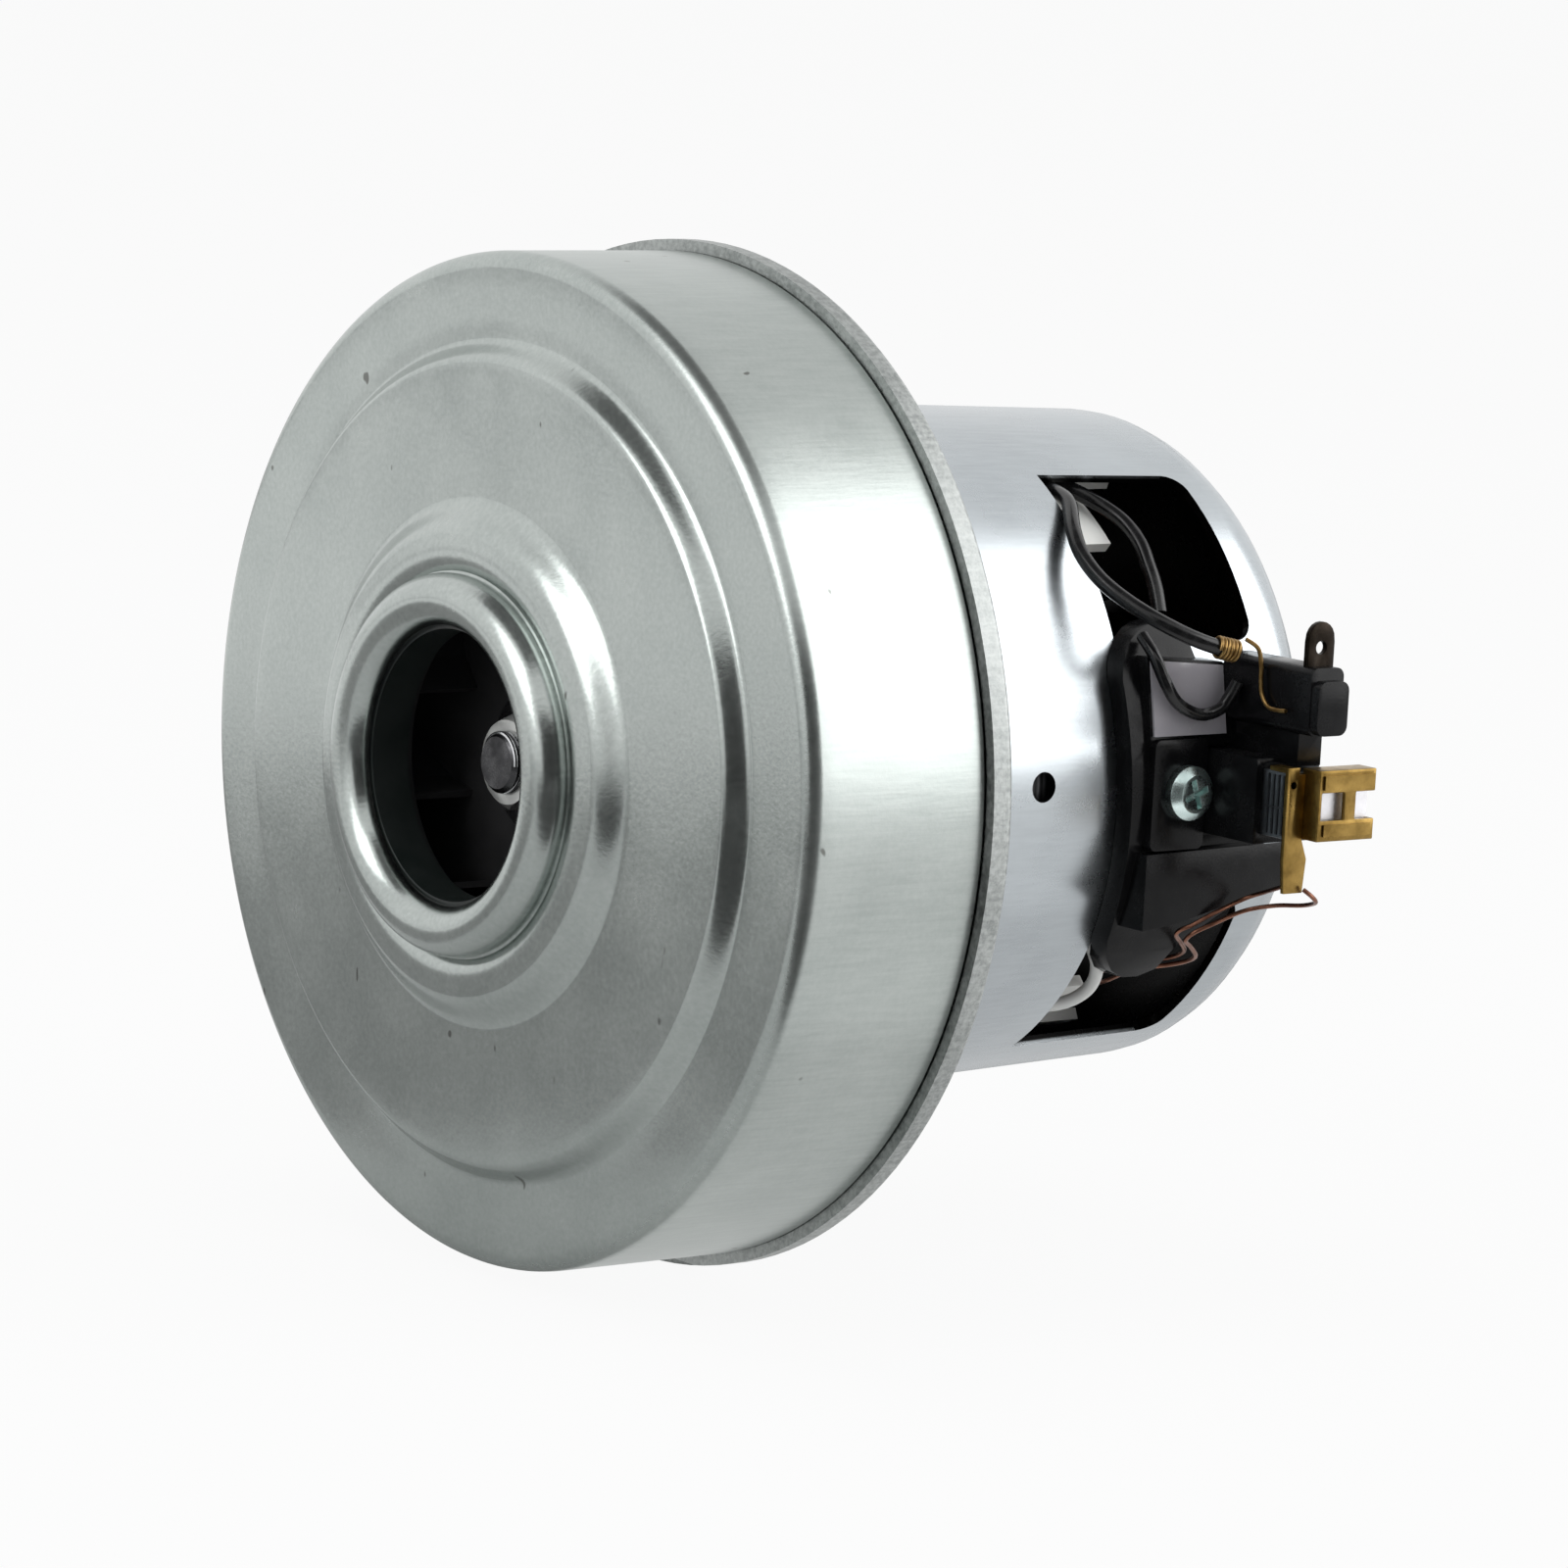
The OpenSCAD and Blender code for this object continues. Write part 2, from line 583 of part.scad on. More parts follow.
// A white lip at each end of the stack keeps the coil off the yoke, and the rear one has a long tongue
tongue_len = 9;
module coil_former() {
    r = back_iron_r - 0.2;
    rear_y = stack_end_y + coil_overhang + 5;
    difference() {
        for (y = [[stack_y - coil_overhang - 3, stack_y], [stack_end_y, rear_y + tongue_len]])
            intersection() {
                ring(r + 1.6, r, y[0], y[1]);
                along_y(y[0], y[1]) polygon(sector(stack_r, 3 - coil_angle, coil_angle - 3));
            }
        along_y(rear_y, rear_y + tongue_len + 1) {
            polygon(sector(stack_r, coil_angle / 2, coil_angle + 5));
            polygon(sector(stack_r, -coil_angle - 5, -coil_angle / 2));
        }
    }
}
module coil_former_upper() { color([0.92, 0.92, 0.9]) at_angle(90) coil_former(); }
module coil_former_lower() { color([0.92, 0.92, 0.9]) at_angle(270) coil_former(); }

// Bearings: the outer race stands still, the inner race turns with the shaft

ball_circle = (bearing_r + shaft_r) / 2;
groove_r = ball_r + race_gap;
inner_land = ball_circle - ball_r * 0.72;
outer_land = ball_circle + ball_r * 0.72;
groove_a = acos(ball_r * 0.72 / groove_r);

module outer_race(y) {
    mid = y + bearing_w / 2;
    c = [ball_circle, mid];
    color(steel) turned(concat(
        [[bearing_r, y], [bearing_r, y + bearing_w], [outer_land, y + bearing_w]],
        arc(c, groove_r, groove_a, -groove_a, 10), [[outer_land, y]]));
}
module inner_race(y) {
    mid = y + bearing_w / 2;
    c = [ball_circle, mid];
    color(steel) turned(concat(
        [[shaft_r + seat_gap, y], [shaft_r + seat_gap, y + bearing_w], [inner_land, y + bearing_w]],
        arc(c, groove_r, 180 - groove_a, 180 + groove_a, 10), [[inner_land, y]]));
}
module shields(y) {
    color([0.5, 0.5, 0.5]) for (s = [y + 0.3, y + bearing_w - 0.7])
        ring(outer_land, inner_land + 0.3, s, s + 0.4);
}
module cage(y) {
    mid = y + bearing_w / 2;
    color(brass) difference() {
        ring(ball_circle + 0.6, ball_circle - 0.6, mid - ball_r - 0.4, mid + ball_r + 0.4);
        spun(ball_count) translate([ball_circle, mid, 0]) sphere(ball_r + race_gap / 2, $fn = 24);
    }
}
module balls(y) {
    color(bright) spun(ball_count) translate([ball_circle, y + bearing_w / 2, 0]) sphere(ball_r, $fn = 48);
}

// Shaft, stepped: thread and fan seat, front bearing, core seat, commutator seat, rear bearing

core_seat_r = shaft_r + 1;
thread_pitch = 1;
module shaft() {
    front_y = nut_y - 1.6;
    front_step = bearing_front_y + bearing_w + 0.5;
    rear_step = bearing_rear_y - 0.5;
    color(steel) difference() {
        turned([
            [0, front_y], [shaft_r - 0.6, front_y], [shaft_r, front_y + 0.6], [shaft_r, front_step],
            [core_seat_r, front_step], [core_seat_r, rear_step], [shaft_r, rear_step],
            [shaft_r, bearing_rear_y + bearing_w - 0.4], [shaft_r - 0.4, bearing_rear_y + bearing_w],
            [0, bearing_rear_y + bearing_w]]);
        for (i = [0:6]) let (y = front_y + 0.9 + i * thread_pitch)
            turned([[shaft_r - 0.5, y], [shaft_r + 1, y - 0.75], [shaft_r + 1, y + 0.75]]);
    }
}

// Armature

core_r = bore_r - air_gap;
slot_floor = 10.4;
slot_line = [[slot_floor, -0.9], [core_r - 2.4, -1.9], [core_r - 1.4, -0.8], [core_r + 1, -0.8],
    [core_r + 1, 0.8], [core_r - 1.4, 0.8], [core_r - 2.4, 1.9], [slot_floor, 0.9]];
bar_line = [[slot_floor + 0.2, -0.75], [core_r - 2.6, -1.6], [core_r - 2, -0.8],
    [core_r - 2, 0.8], [core_r - 2.6, 1.6], [slot_floor + 0.2, 0.75]];

module armature_core() {
    color([0.42, 0.43, 0.44]) difference() {
        ring(core_r, core_seat_r + seat_gap, stack_y, stack_end_y);
        spun(slot_total) along_y(stack_y - 1, stack_end_y + 1) polygon(slot_line);
    }
}
module armature_end_plates() {
    color([0.75, 0.2, 0.15]) for (y = [stack_y - 1, stack_end_y])
        ring(slot_floor - 0.1, core_seat_r + seat_gap, y + seat_gap, y + 1 - seat_gap);
}
module armature_winding() {
    pack_r = core_r - 1.2;
    color(copper) {
        spun(slot_total) along_y(stack_y - 1.5, stack_end_y + 1.5) polygon(bar_line);
        turned([[slot_floor, stack_y - 1.2], [pack_r, stack_y - 1.2], [pack_r, stack_y - 5],
            [pack_r - 3, stack_y - winding_overhang], [slot_floor - 3, stack_y - winding_overhang],
            [slot_floor - 3, stack_y - 2.4]]);
        turned([[slot_floor, stack_end_y + 1.2], [pack_r, stack_end_y + 1.2], [pack_r, stack_end_y + 5],
            [commutator_r + 1.5, winding_end_y], [slot_floor - 3, winding_end_y],
            [slot_floor - 3, stack_end_y + 2.4]]);
    }
}
module commutator_hub() {
    color([0.3, 0.12, 0.06]) ring(commutator_r - 3, core_seat_r + seat_gap, riser_y - 1, track_end_y + 1);
}
module commutator_segments() {
    color(copper) difference() {
        turned([[commutator_r - 3 + seat_gap, riser_y], [commutator_r + 2, riser_y],
            [commutator_r + 2, track_y - 0.8], [commutator_r, track_y - 0.8],
            [commutator_r, track_end_y], [commutator_r - 3 + seat_gap, track_end_y]]);
        spun(slot_total) along_y(riser_y - 1, track_end_y + 1) translate([0, -mica_gap / 2])
            square([commutator_r + 4, mica_gap]);
    }
}

// Brush gear, drawn on the +X side

neck_t = 0.9;
holder_screw_y = tube_y0 - shroud_t - holder_head_r - 0.1;
block_y0 = tube_y0 + 2;
block_y1 = block_y0 + block_y;

module brush_tube() {
    color([0.5, 0.52, 0.54]) along_x(tube_inner, tube_outer) difference() {
        translate([tube_y0, -tube_z / 2]) square([tube_y, tube_z]);
        translate([tube_y0 + tube_t, -tube_z / 2 + tube_t]) square([tube_y - 2 * tube_t, tube_z - 2 * tube_t]);
    }
}

brush_y = tube_y - 2 * (tube_t + brush_gap);
brush_z = tube_z - 2 * (tube_t + brush_gap);
brush_end = commutator_r + brush_lift + brush_len;
module carbon_brush() {
    color([0.12, 0.12, 0.13]) difference() {
        along_x(commutator_r - 2, brush_end) translate([tube_mid_y - brush_y / 2, -brush_z / 2])
            square([brush_y, brush_z]);
        ring(commutator_r + brush_lift, 0, tube_y0 - 5, tube_y1 + 5);
    }
}

spring_seat = tube_outer - small;
spring_r = min(brush_y, brush_z) / 2 - spring_wire - 0.1;
module brush_spring() {
    x0 = brush_end + spring_wire + 0.1;
    x1 = spring_seat - spring_wire - 0.1;
    steps = 8 * spring_turns;
    helix = [for (i = [0:steps]) let (s = i / steps, a = 360 * spring_turns * s)
        [x0 + (x1 - x0) * s, tube_mid_y + spring_r * cos(a), spring_r * sin(a)]];
    color(bright) wire(helix, spring_wire, 6);
}

// The saddle hugs the yoke; blocks on it carry the tube, the strip and the lead tab
module saddle() {
    top = 21.5;
    bottom = -26.1;
    intersection() {
        along_x(yoke_end_r * 0.6, yoke_r + saddle_t + 1) polygon(concat(
            arc([window_y + 7, bottom + 7.6], 7.6, 172, 300),
            [[window_y + 13, bottom + 5], [tube_y1 + 3.4, bottom + 11.5]],
            arc([tube_y1 + 2.4, 9], 1, 0, 90), [[window_y + 13, 10], [window_y + 11, top - 5]],
            arc([window_y + 5.5, top - 7], 7, 50, 90), arc([window_y + 5.5, top - 8], 8, 90, 172)));
        turned([[0, window_y - 9], [yoke_r_at(window_y - 9) + sheet_gap + saddle_t, window_y - 9],
            [yoke_r_at(window_end_y) + sheet_gap + saddle_t, window_end_y], [0, window_end_y]]);
    }
}

module holder_blocks() {
    root_x = yoke_end_r - 1.5;
    along_x(root_x, holder_face)
        polygon(round_rect(window_y + 1, window_y + 10, -7.6, 7, 1));
    intersection() {
        along_x(root_x, holder_face - 1) polygon([[window_y + 0.8, 6], [tube_y1 + 1, 6],
            [tube_y1 + 1, 13], [window_y + 13.5, 16.6], [window_y + 0.8, 17.6]]);
        rotate([90, 0, 0]) translate([0, 0, -window_end_y]) linear_extrude(window_end_y) polygon([
            [0, 0], [holder_face - 0.6, 0], [holder_face - 0.6, 6], [holder_face - 2.6, 17.7], [0, 17.7]]);
    }
    along_x(root_x, shroud_end) translate([tube_y0 - shroud_t, -tube_z / 2 - shroud_t])
        square([tube_y + 2 * shroud_t, tube_z + 2 * shroud_t]);
    along_x(root_x, holder_face + 0.2) polygon([
        [window_y + 0.4, -8], [tube_y1 + 5.4, -7.4], [tube_y1 + 5.4, -12.9], [window_y + 6, -17.4],
        [window_y + 0.4, -18]]);
    along_x(holder_face - 2, block_end - 1.4) polygon(round_rect(
        block_y0, block_y1, block_z + 0.1, block_z + block_h + 1.6, 1.2));
    along_x(block_end - 2, block_end) polygon(round_rect(
        block_y0 + 0.2, block_y1 - 0.2, block_z + 0.3, block_z + block_h, 1.3));
    along_x(holder_face - 1.8, shroud_end + 3) translate([block_y0 + 1, tube_z / 2 + 0.5])
        square([block_y - 1.6, block_z - tube_z / 2]);
}

module brush_holder() {
    color(black) difference() {
        union() {
            difference() {
                union() {
                    saddle();
                    holder_blocks();
                }
                turned([[0, flange_y], [yoke_r_at(flange_y) + sheet_gap, flange_y],
                    [yoke_r_at(window_end_y + 3) + sheet_gap, window_end_y + 3], [0, window_end_y + 3]]);
            }
            along_x(yoke_end_r - 5, holder_face) translate([tube_y0 - neck_t, -tube_z / 2 - neck_t])
                square([tube_y + 2 * neck_t, tube_z + 2 * neck_t]);
        }
        along_x(yoke_end_r - 7, shroud_end + 1) translate([tube_y0 - seat_gap, -tube_z / 2 - seat_gap])
            square([tube_y + 2 * seat_gap, tube_z + 2 * seat_gap]);
        along_x(yoke_end_r - 4, holder_face + 2) translate([holder_screw_y, 0]) circle(holder_shank_r + 0.1);
        along_x(tab_x - seat_gap, tab_x + tab_t + seat_gap) translate([tab_y0 - seat_gap, block_z + 0.8])
            square([tab_w + 2 * seat_gap, block_h + 4]);
    }
}

module holder_screw() {
    translate([holder_face, holder_screw_y, 0]) rotate([0, 90, 0]) rotate(20) pan_head(holder_head_r, holder_head_r * 0.61);
    along_x(yoke_end_r - 3.4, holder_face + small) translate([holder_screw_y, 0]) circle(holder_shank_r);
}
module holder_screws() {
    color([0.75, 0.8, 0.8]) {
        holder_screw();
        other_side() holder_screw();
    }
}

tab_t = 0.8;
tab_x = block_end - 4;
tab_y0 = block_y0 + (block_y - tab_w) / 2 + 0.2;
tab_top = block_z + block_h + 7.4;
module lead_tab() {
    mid = tab_y0 + tab_w / 2;
    color([0.2, 0.18, 0.15]) difference() {
        along_x(tab_x, tab_x + tab_t) polygon(concat(
            [[tab_y0 + tab_w, block_z + 1]], arc([mid, tab_top - tab_w / 2], tab_w / 2, 0, 180, 10),
            [[tab_y0, block_z + 1]]));
        along_x(tab_x - 1, tab_x + 2) translate([mid, tab_top - 3.4]) circle(tab_hole_r);
    }
}

// The clip caps the tube and stands out behind it as an open frame
clip_y0 = tube_y0 + 2.6;
clip_y1 = clip_y0 + 9.8;
clip_x = tube_outer + small;
clip_depth = 3.4;
module brush_clip() {
    z0 = -tube_z / 2;
    z1 = tube_z / 2 + 0.6;
    post = 2;
    color(brass) difference() {
        union() {
            along_x(clip_x, clip_x + clip_depth) difference() {
                translate([clip_y0, z0]) square([clip_y1 - clip_y0, z1 - z0]);
                translate([clip_y0 + brass_t, z0 + brass_t])
                    square([clip_y1 - clip_y0 - 2 * brass_t, z1 - z0 - 2 * brass_t]);
            }
            along_x(clip_x, clip_x + brass_t) translate([clip_y0, z0])
                square([tube_y1 - clip_y0, z1 - z0]);
            along_x(clip_x + clip_depth - brass_t, clip_x + clip_depth)
                translate([clip_y0, z0]) square([clip_y1 - clip_y0, z1 - z0]);
        }
        along_x(clip_x + brass_t + small, clip_x + clip_depth + 1) {
            translate([clip_y0 + brass_t, -1.6]) square([3.9, 3.6]);
            translate([clip_y0 + brass_t + 3.9 + post, -1.6]) square([clip_y1 - clip_y0, 3.6]);
        }
    }
}

// The strip lies on the tube's end, runs down past it and ends in a foot for the copper wires
strip_w = 4.4;
strip_foot = -11.4;
module brush_strip() {
    y0 = tube_y0 - 0.4;
    color(brass) difference() {
        union() {
            along_x(clip_x + small, clip_x + brass_t) polygon([
                [y0, tube_z / 2 - 0.2], [y0, -7], [y0 + 0.4, strip_foot], [y0 + 3.6, strip_foot],
                [y0 + 4, -7], [clip_y0 - seat_gap, -tube_z / 2], [clip_y0 - seat_gap, tube_z / 2 - 0.2]]);
            along_z(tube_z / 2 + 0.02, tube_z / 2 + 0.02 + brass_t) translate([clip_x - 3, y0])
                square([3 + brass_t, 2]);
            along_x(clip_x + small, clip_x + brass_t) translate([y0, tube_z / 2 - 0.3]) square([2, 1]);
        }
        along_x(clip_x - 1, clip_x + 2) translate([y0 + 1.1, tube_z / 2 - 1.6]) circle(0.5, $fn = 32);
    }
}

// Leads and winding ends, routes on the +X side

// Each point is given from the rear of the yoke wall and from the front edge of the window
function placed(route) = [for (p = route) [yoke_end_r + p[0], window_y + p[1], p[2] * yoke_r / 46.5]];

field_route = [
    [-23.4, 3, 36.5], [-19.9, 2.5, 36.5], [-15.4, 1.1, 35.6], [-10.2, -2.2, 32.8], [-6.2, -3.8, 30],
    [-2.4, -3.6, 27.2], [1.4, -2.1, 24.8], [5.2, 0.1, 22.7], [7.8, 3.5, 20.8], [9.1, 6.9, 19.6],
    [9.8, 10.1, 18.9]];
inner_route = [
    [-26.9, 5, 37.9], [-24.1, 8, 36.5], [-21.4, 10.9, 34.8], [-17.9, 12.7, 32.7], [-14.4, 12.9, 30.2],
    [-11.8, 12.5, 27.4], [-9.6, 12.1, 24.6], [-7.8, 11.5, 21.6]];
loop_route = [
    [0.7, 1.4, 20.1], [3.6, 1.2, 17.8], [5, 2.2, 14.4], [5.3, 4.3, 11.7], [5.6, 7.9, 10.2],
    [6, 10.9, 10.9], [6.4, 12.1, 12.6], [7, 12.8, 14.6]];
white_route = [
    [-10, 0.7, -19.4], [-8.2, 2.7, -21.4], [-8.8, 5.1, -24.8], [-10.8, 6.4, -27.8], [-13, 6.1, -30],
    [-15.2, 4.3, -31.4], [-17.4, 0.9, -31.8]];
copper_routes = [[
    [-16.7, 11.2, -28.3], [-10.9, 14.1, -26.5], [-6.4, 15.1, -24.6], [-2.1, 13.9, -23],
    [1.2, 10.5, -21.6], [3, 7.5, -20], [4.2, 6.7, -18.8], [5.2, 9.1, -17.7], [6.1, 12.1, -16.1],
    [7, 16.5, -14.3], [10.1, 17.1, -13], [14.1, 15.4, -11.8], [17.2, 13.9, -10.9],
    [18.85, 12.5, -10.3]], [
    [-16, 11.9, -29.2], [-10.5, 15.9, -27.4], [-6, 16.7, -25.3], [-1.4, 15.5, -23.6],
    [2, 11.9, -22.1], [4, 8.7, -20.5], [5.2, 8.3, -19.4], [6.3, 11.5, -17.6], [7.3, 16.1, -15.9],
    [10.6, 18.5, -14.8], [15, 19.1, -14.1], [18.2, 18.3, -13.3], [20.2, 16.9, -12.6],
    [20.8, 15.5, -11.7], [20.3, 14.5, -10.9]]];
tie_route = [
    [10.2, 10.9, 20.6], [10.9, 12.5, 19.4], [11.3, 12.85, 17.2], [11.5, 12.8, 15.2],
    [11.9, 12.8, 13.4], [13.2, 12.8, 12.1], [15, 12.8, 11.9], [16.6, 12.8, 12]];

// Moves children to b, with their Z axis on the line from a
module along_line(a, b) {
    d = b - a;
    translate(b) rotate([0, acos(d[2] / norm(d)), atan2(d[1], d[0])]) children();
}

module field_lead() { color(black) wire(smooth(placed(field_route)), lead_r); }
module inner_lead() { color(black) wire(smooth(placed(inner_route)), lead_r); }
module loop_lead() { color(black) wire(smooth(placed(loop_route)), lead_r * 0.8); }
module white_sleeve() { color([0.93, 0.93, 0.92]) wire(smooth(placed(white_route)), sleeve_r); }
module copper_wires() { color(copper) for (p = copper_routes) wire(smooth(placed(p)), copper_r, 6); }
module lead_tie() {
    wire(smooth(placed(tie_route)), copper_r + 0.05, 6);
    last = placed([field_route[9], field_route[10]]);
    along_line(last[0], last[1]) translate([0, 0, -1.4]) difference() {
        cylinder(2.6, r = lead_r + 0.6, $fn = 48);
        translate([0, 0, -1]) cylinder(5, r = lead_r + sheet_gap, $fn = 48);
    }
}
module lead_ties() {
    color([0.62, 0.45, 0.2]) {
        lead_tie();
        other_side() lead_tie();
    }
}

fan_cover();
intake_seal();
diffuser();
diffuser_screws();
front_bracket();
yoke();
yoke_screws();
stator_core();
field_coil_upper();
field_coil_lower();
coil_former_upper();
coil_former_lower();
outer_race(bearing_front_y);  // front_bearing_outer
shields(bearing_front_y);  // front_bearing_shields
inner_race(bearing_front_y);  // front_bearing_inner
cage(bearing_front_y);  // front_bearing_cage
balls(bearing_front_y);  // front_bearing_balls
outer_race(bearing_rear_y);  // rear_bearing_outer
shields(bearing_rear_y);  // rear_bearing_shields
inner_race(bearing_rear_y);  // rear_bearing_inner
cage(bearing_rear_y);  // rear_bearing_cage
balls(bearing_rear_y);  // rear_bearing_balls
shaft();
spacer_sleeve();
wheel_back_disc();
wheel_blades();
wheel_front_disc();
wheel_washer();
wheel_nut();
armature_core();
armature_winding();
armature_end_plates();
commutator_hub();
commutator_segments();
brush_holder();  // brush_holder_a
other_side() brush_holder();  // brush_holder_b
brush_tube();  // brush_tube_a
other_side() brush_tube();  // brush_tube_b
carbon_brush();  // carbon_brush_a
other_side() carbon_brush();  // carbon_brush_b
brush_spring();  // brush_spring_a
other_side() brush_spring();  // brush_spring_b
brush_clip();  // brush_clip_a
other_side() brush_clip();  // brush_clip_b
brush_strip();  // brush_strip_a
other_side() brush_strip();  // brush_strip_b
holder_screws();
lead_tab();  // lead_tab_a
other_side() lead_tab();  // lead_tab_b
field_lead();  // field_lead_a
other_side() field_lead();  // field_lead_b
inner_lead();  // inner_lead_a
other_side() inner_lead();  // inner_lead_b
loop_lead();  // loop_lead_a
other_side() loop_lead();  // loop_lead_b
white_sleeve();  // white_sleeve_a
other_side() white_sleeve();  // white_sleeve_b
copper_wires();  // copper_wires_a
other_side() copper_wires();  // copper_wires_b
lead_ties();
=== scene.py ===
"""Looks of the vacuum motor unit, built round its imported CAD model.

The shaft lies along Y with the intake on -Y, brush holder a on +X and its lead tab upwards.
Sizes are written in millimetres and turned to metres where a mesh is made.
"""

import math

import bmesh
import bpy
import numpy as np
from mathutils import Matrix, Vector


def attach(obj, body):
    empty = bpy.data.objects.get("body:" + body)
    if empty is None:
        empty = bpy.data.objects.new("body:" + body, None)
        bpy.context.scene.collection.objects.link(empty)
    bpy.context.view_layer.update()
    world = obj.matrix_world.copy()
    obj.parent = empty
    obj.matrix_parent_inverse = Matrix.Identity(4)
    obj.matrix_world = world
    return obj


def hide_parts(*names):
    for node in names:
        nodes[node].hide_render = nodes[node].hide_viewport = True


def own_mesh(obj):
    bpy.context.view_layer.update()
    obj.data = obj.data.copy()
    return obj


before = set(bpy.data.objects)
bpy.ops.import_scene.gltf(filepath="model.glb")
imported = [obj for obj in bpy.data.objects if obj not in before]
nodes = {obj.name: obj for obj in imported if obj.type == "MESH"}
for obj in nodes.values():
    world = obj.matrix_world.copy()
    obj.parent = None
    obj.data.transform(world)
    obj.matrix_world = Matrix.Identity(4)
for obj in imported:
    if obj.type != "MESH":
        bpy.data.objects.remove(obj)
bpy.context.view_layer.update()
scene = bpy.context.scene
MM = 0.001


# Meshes


def piece_from(name, points, faces, material, body):
    """A mesh piece from points in millimetres, outward normals, smooth up to 35 degrees."""
    mesh = bpy.data.meshes.new(name)
    mesh.from_pydata([tuple(c * MM for c in p) for p in points], [], faces)
    bm = bmesh.new()
    bm.from_mesh(mesh)
    bmesh.ops.remove_doubles(bm, verts=bm.verts, dist=1e-7)
    bmesh.ops.recalc_face_normals(bm, faces=bm.faces)
    bm.to_mesh(mesh)
    bm.free()
    return dressed(name, mesh, material, body)


def dressed(name, mesh, material, body):
    """The object of a finished mesh, with its material and its body."""
    mesh.materials.clear()
    mesh.materials.append(material)
    mesh.shade_smooth()
    mesh.set_sharp_from_angle(angle=math.radians(35))
    piece = bpy.data.objects.new(name, mesh)
    scene.collection.objects.link(piece)
    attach(piece, body)
    return piece


def evaluated(piece):
    """The mesh that a piece's modifiers make, as a plain mesh."""
    graph = bpy.context.evaluated_depsgraph_get()
    return bpy.data.meshes.new_from_object(piece.evaluated_get(graph), depsgraph=graph)


def new_node(tree, kind, inputs=(), **settings):
    """A node with its settings, and its inputs by name or place, as values or as sockets."""
    made = tree.nodes.new(kind)
    for key, value in settings.items():
        setattr(made, key, value)
    for key, value in dict(inputs).items():
        if isinstance(value, bpy.types.NodeSocket):
            tree.links.new(value, made.inputs[key])
        else:
            made.inputs[key].default_value = value
    return made


def unit(v):
    return v / np.linalg.norm(v)


def offset_line(line, distance):
    """A polyline moved sideways by a distance, to its left, with mitred corners."""
    p = np.array(line, float)
    along = np.diff(p, axis=0)
    along /= np.linalg.norm(along, axis=1)[:, None]
    side = np.stack([-along[:, 1], along[:, 0]], 1)
    a = np.vstack([side[:1], side])
    b = np.vstack([side, side[-1:]])
    return p + distance * (a + b) / (1 + (a * b).sum(1))[:, None]


def bend(centre, radius, start, end, steps=8):
    return [
        (centre[0] + radius * math.cos(a), centre[1] + radius * math.sin(a))
        for a in np.radians(np.linspace(start, end, steps + 1))
    ]


def ease(start, end, steps=12):
    """A soft S between two points, level at both ends."""
    return [
        (start[0] + (end[0] - start[0]) * s, start[1] + (end[1] - start[1]) * (1 - math.cos(math.pi * s)) / 2)
        for s in np.linspace(0, 1, steps + 1)
    ]


def on_side(points, side):
    """The same points for holder a, or turned half a turn about the shaft for holder b."""
    return points if side == "a" else [(-x, y, -z) for x, y, z in points]


def turned(name, outline, material, body, segments=288):
    """A closed outline of (radius, y) turned about the shaft."""
    count = len(outline)
    angles = np.linspace(0, 2 * math.pi, segments, endpoint=False)
    points = [(r * math.cos(a), y, r * math.sin(a)) for a in angles for r, y in outline]
    faces = [
        (i * count + k, i * count + (k + 1) % count, j * count + (k + 1) % count, j * count + k)
        for i in range(segments)
        for j in [(i + 1) % segments]
        for k in range(count)
    ]
    return piece_from(name, points, faces, material, body)


def rounded(name, node, radius, material, body="housing", steps=3):
    """A copy of a CAD node with its sharp edges broken, which stands for that node."""
    mesh = nodes[node].data.copy()
    bm = bmesh.new()
    bm.from_mesh(mesh)
    bmesh.ops.remove_doubles(bm, verts=bm.verts, dist=2e-6)
    bmesh.ops.dissolve_limit(bm, angle_limit=math.radians(1), verts=bm.verts, edges=bm.edges)
    bm.to_mesh(mesh)
    bm.free()
    raw = bpy.data.objects.new(name + "_raw", mesh)
    scene.collection.objects.link(raw)
    edge = raw.modifiers.new("edges", "BEVEL")
    edge.width = radius * MM
    edge.segments = steps
    edge.limit_method = "ANGLE"
    edge.angle_limit = math.radians(40)
    edge.miter_outer = "MITER_ARC"
    done = evaluated(raw)
    bpy.data.objects.remove(raw)
    for name_old in [a.name for a in done.attributes if a.name in ("custom_normal", "sharp_edge")]:
        done.attributes.remove(done.attributes[name_old])
    piece = dressed(name, done, material, body)
    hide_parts(node)
    return piece


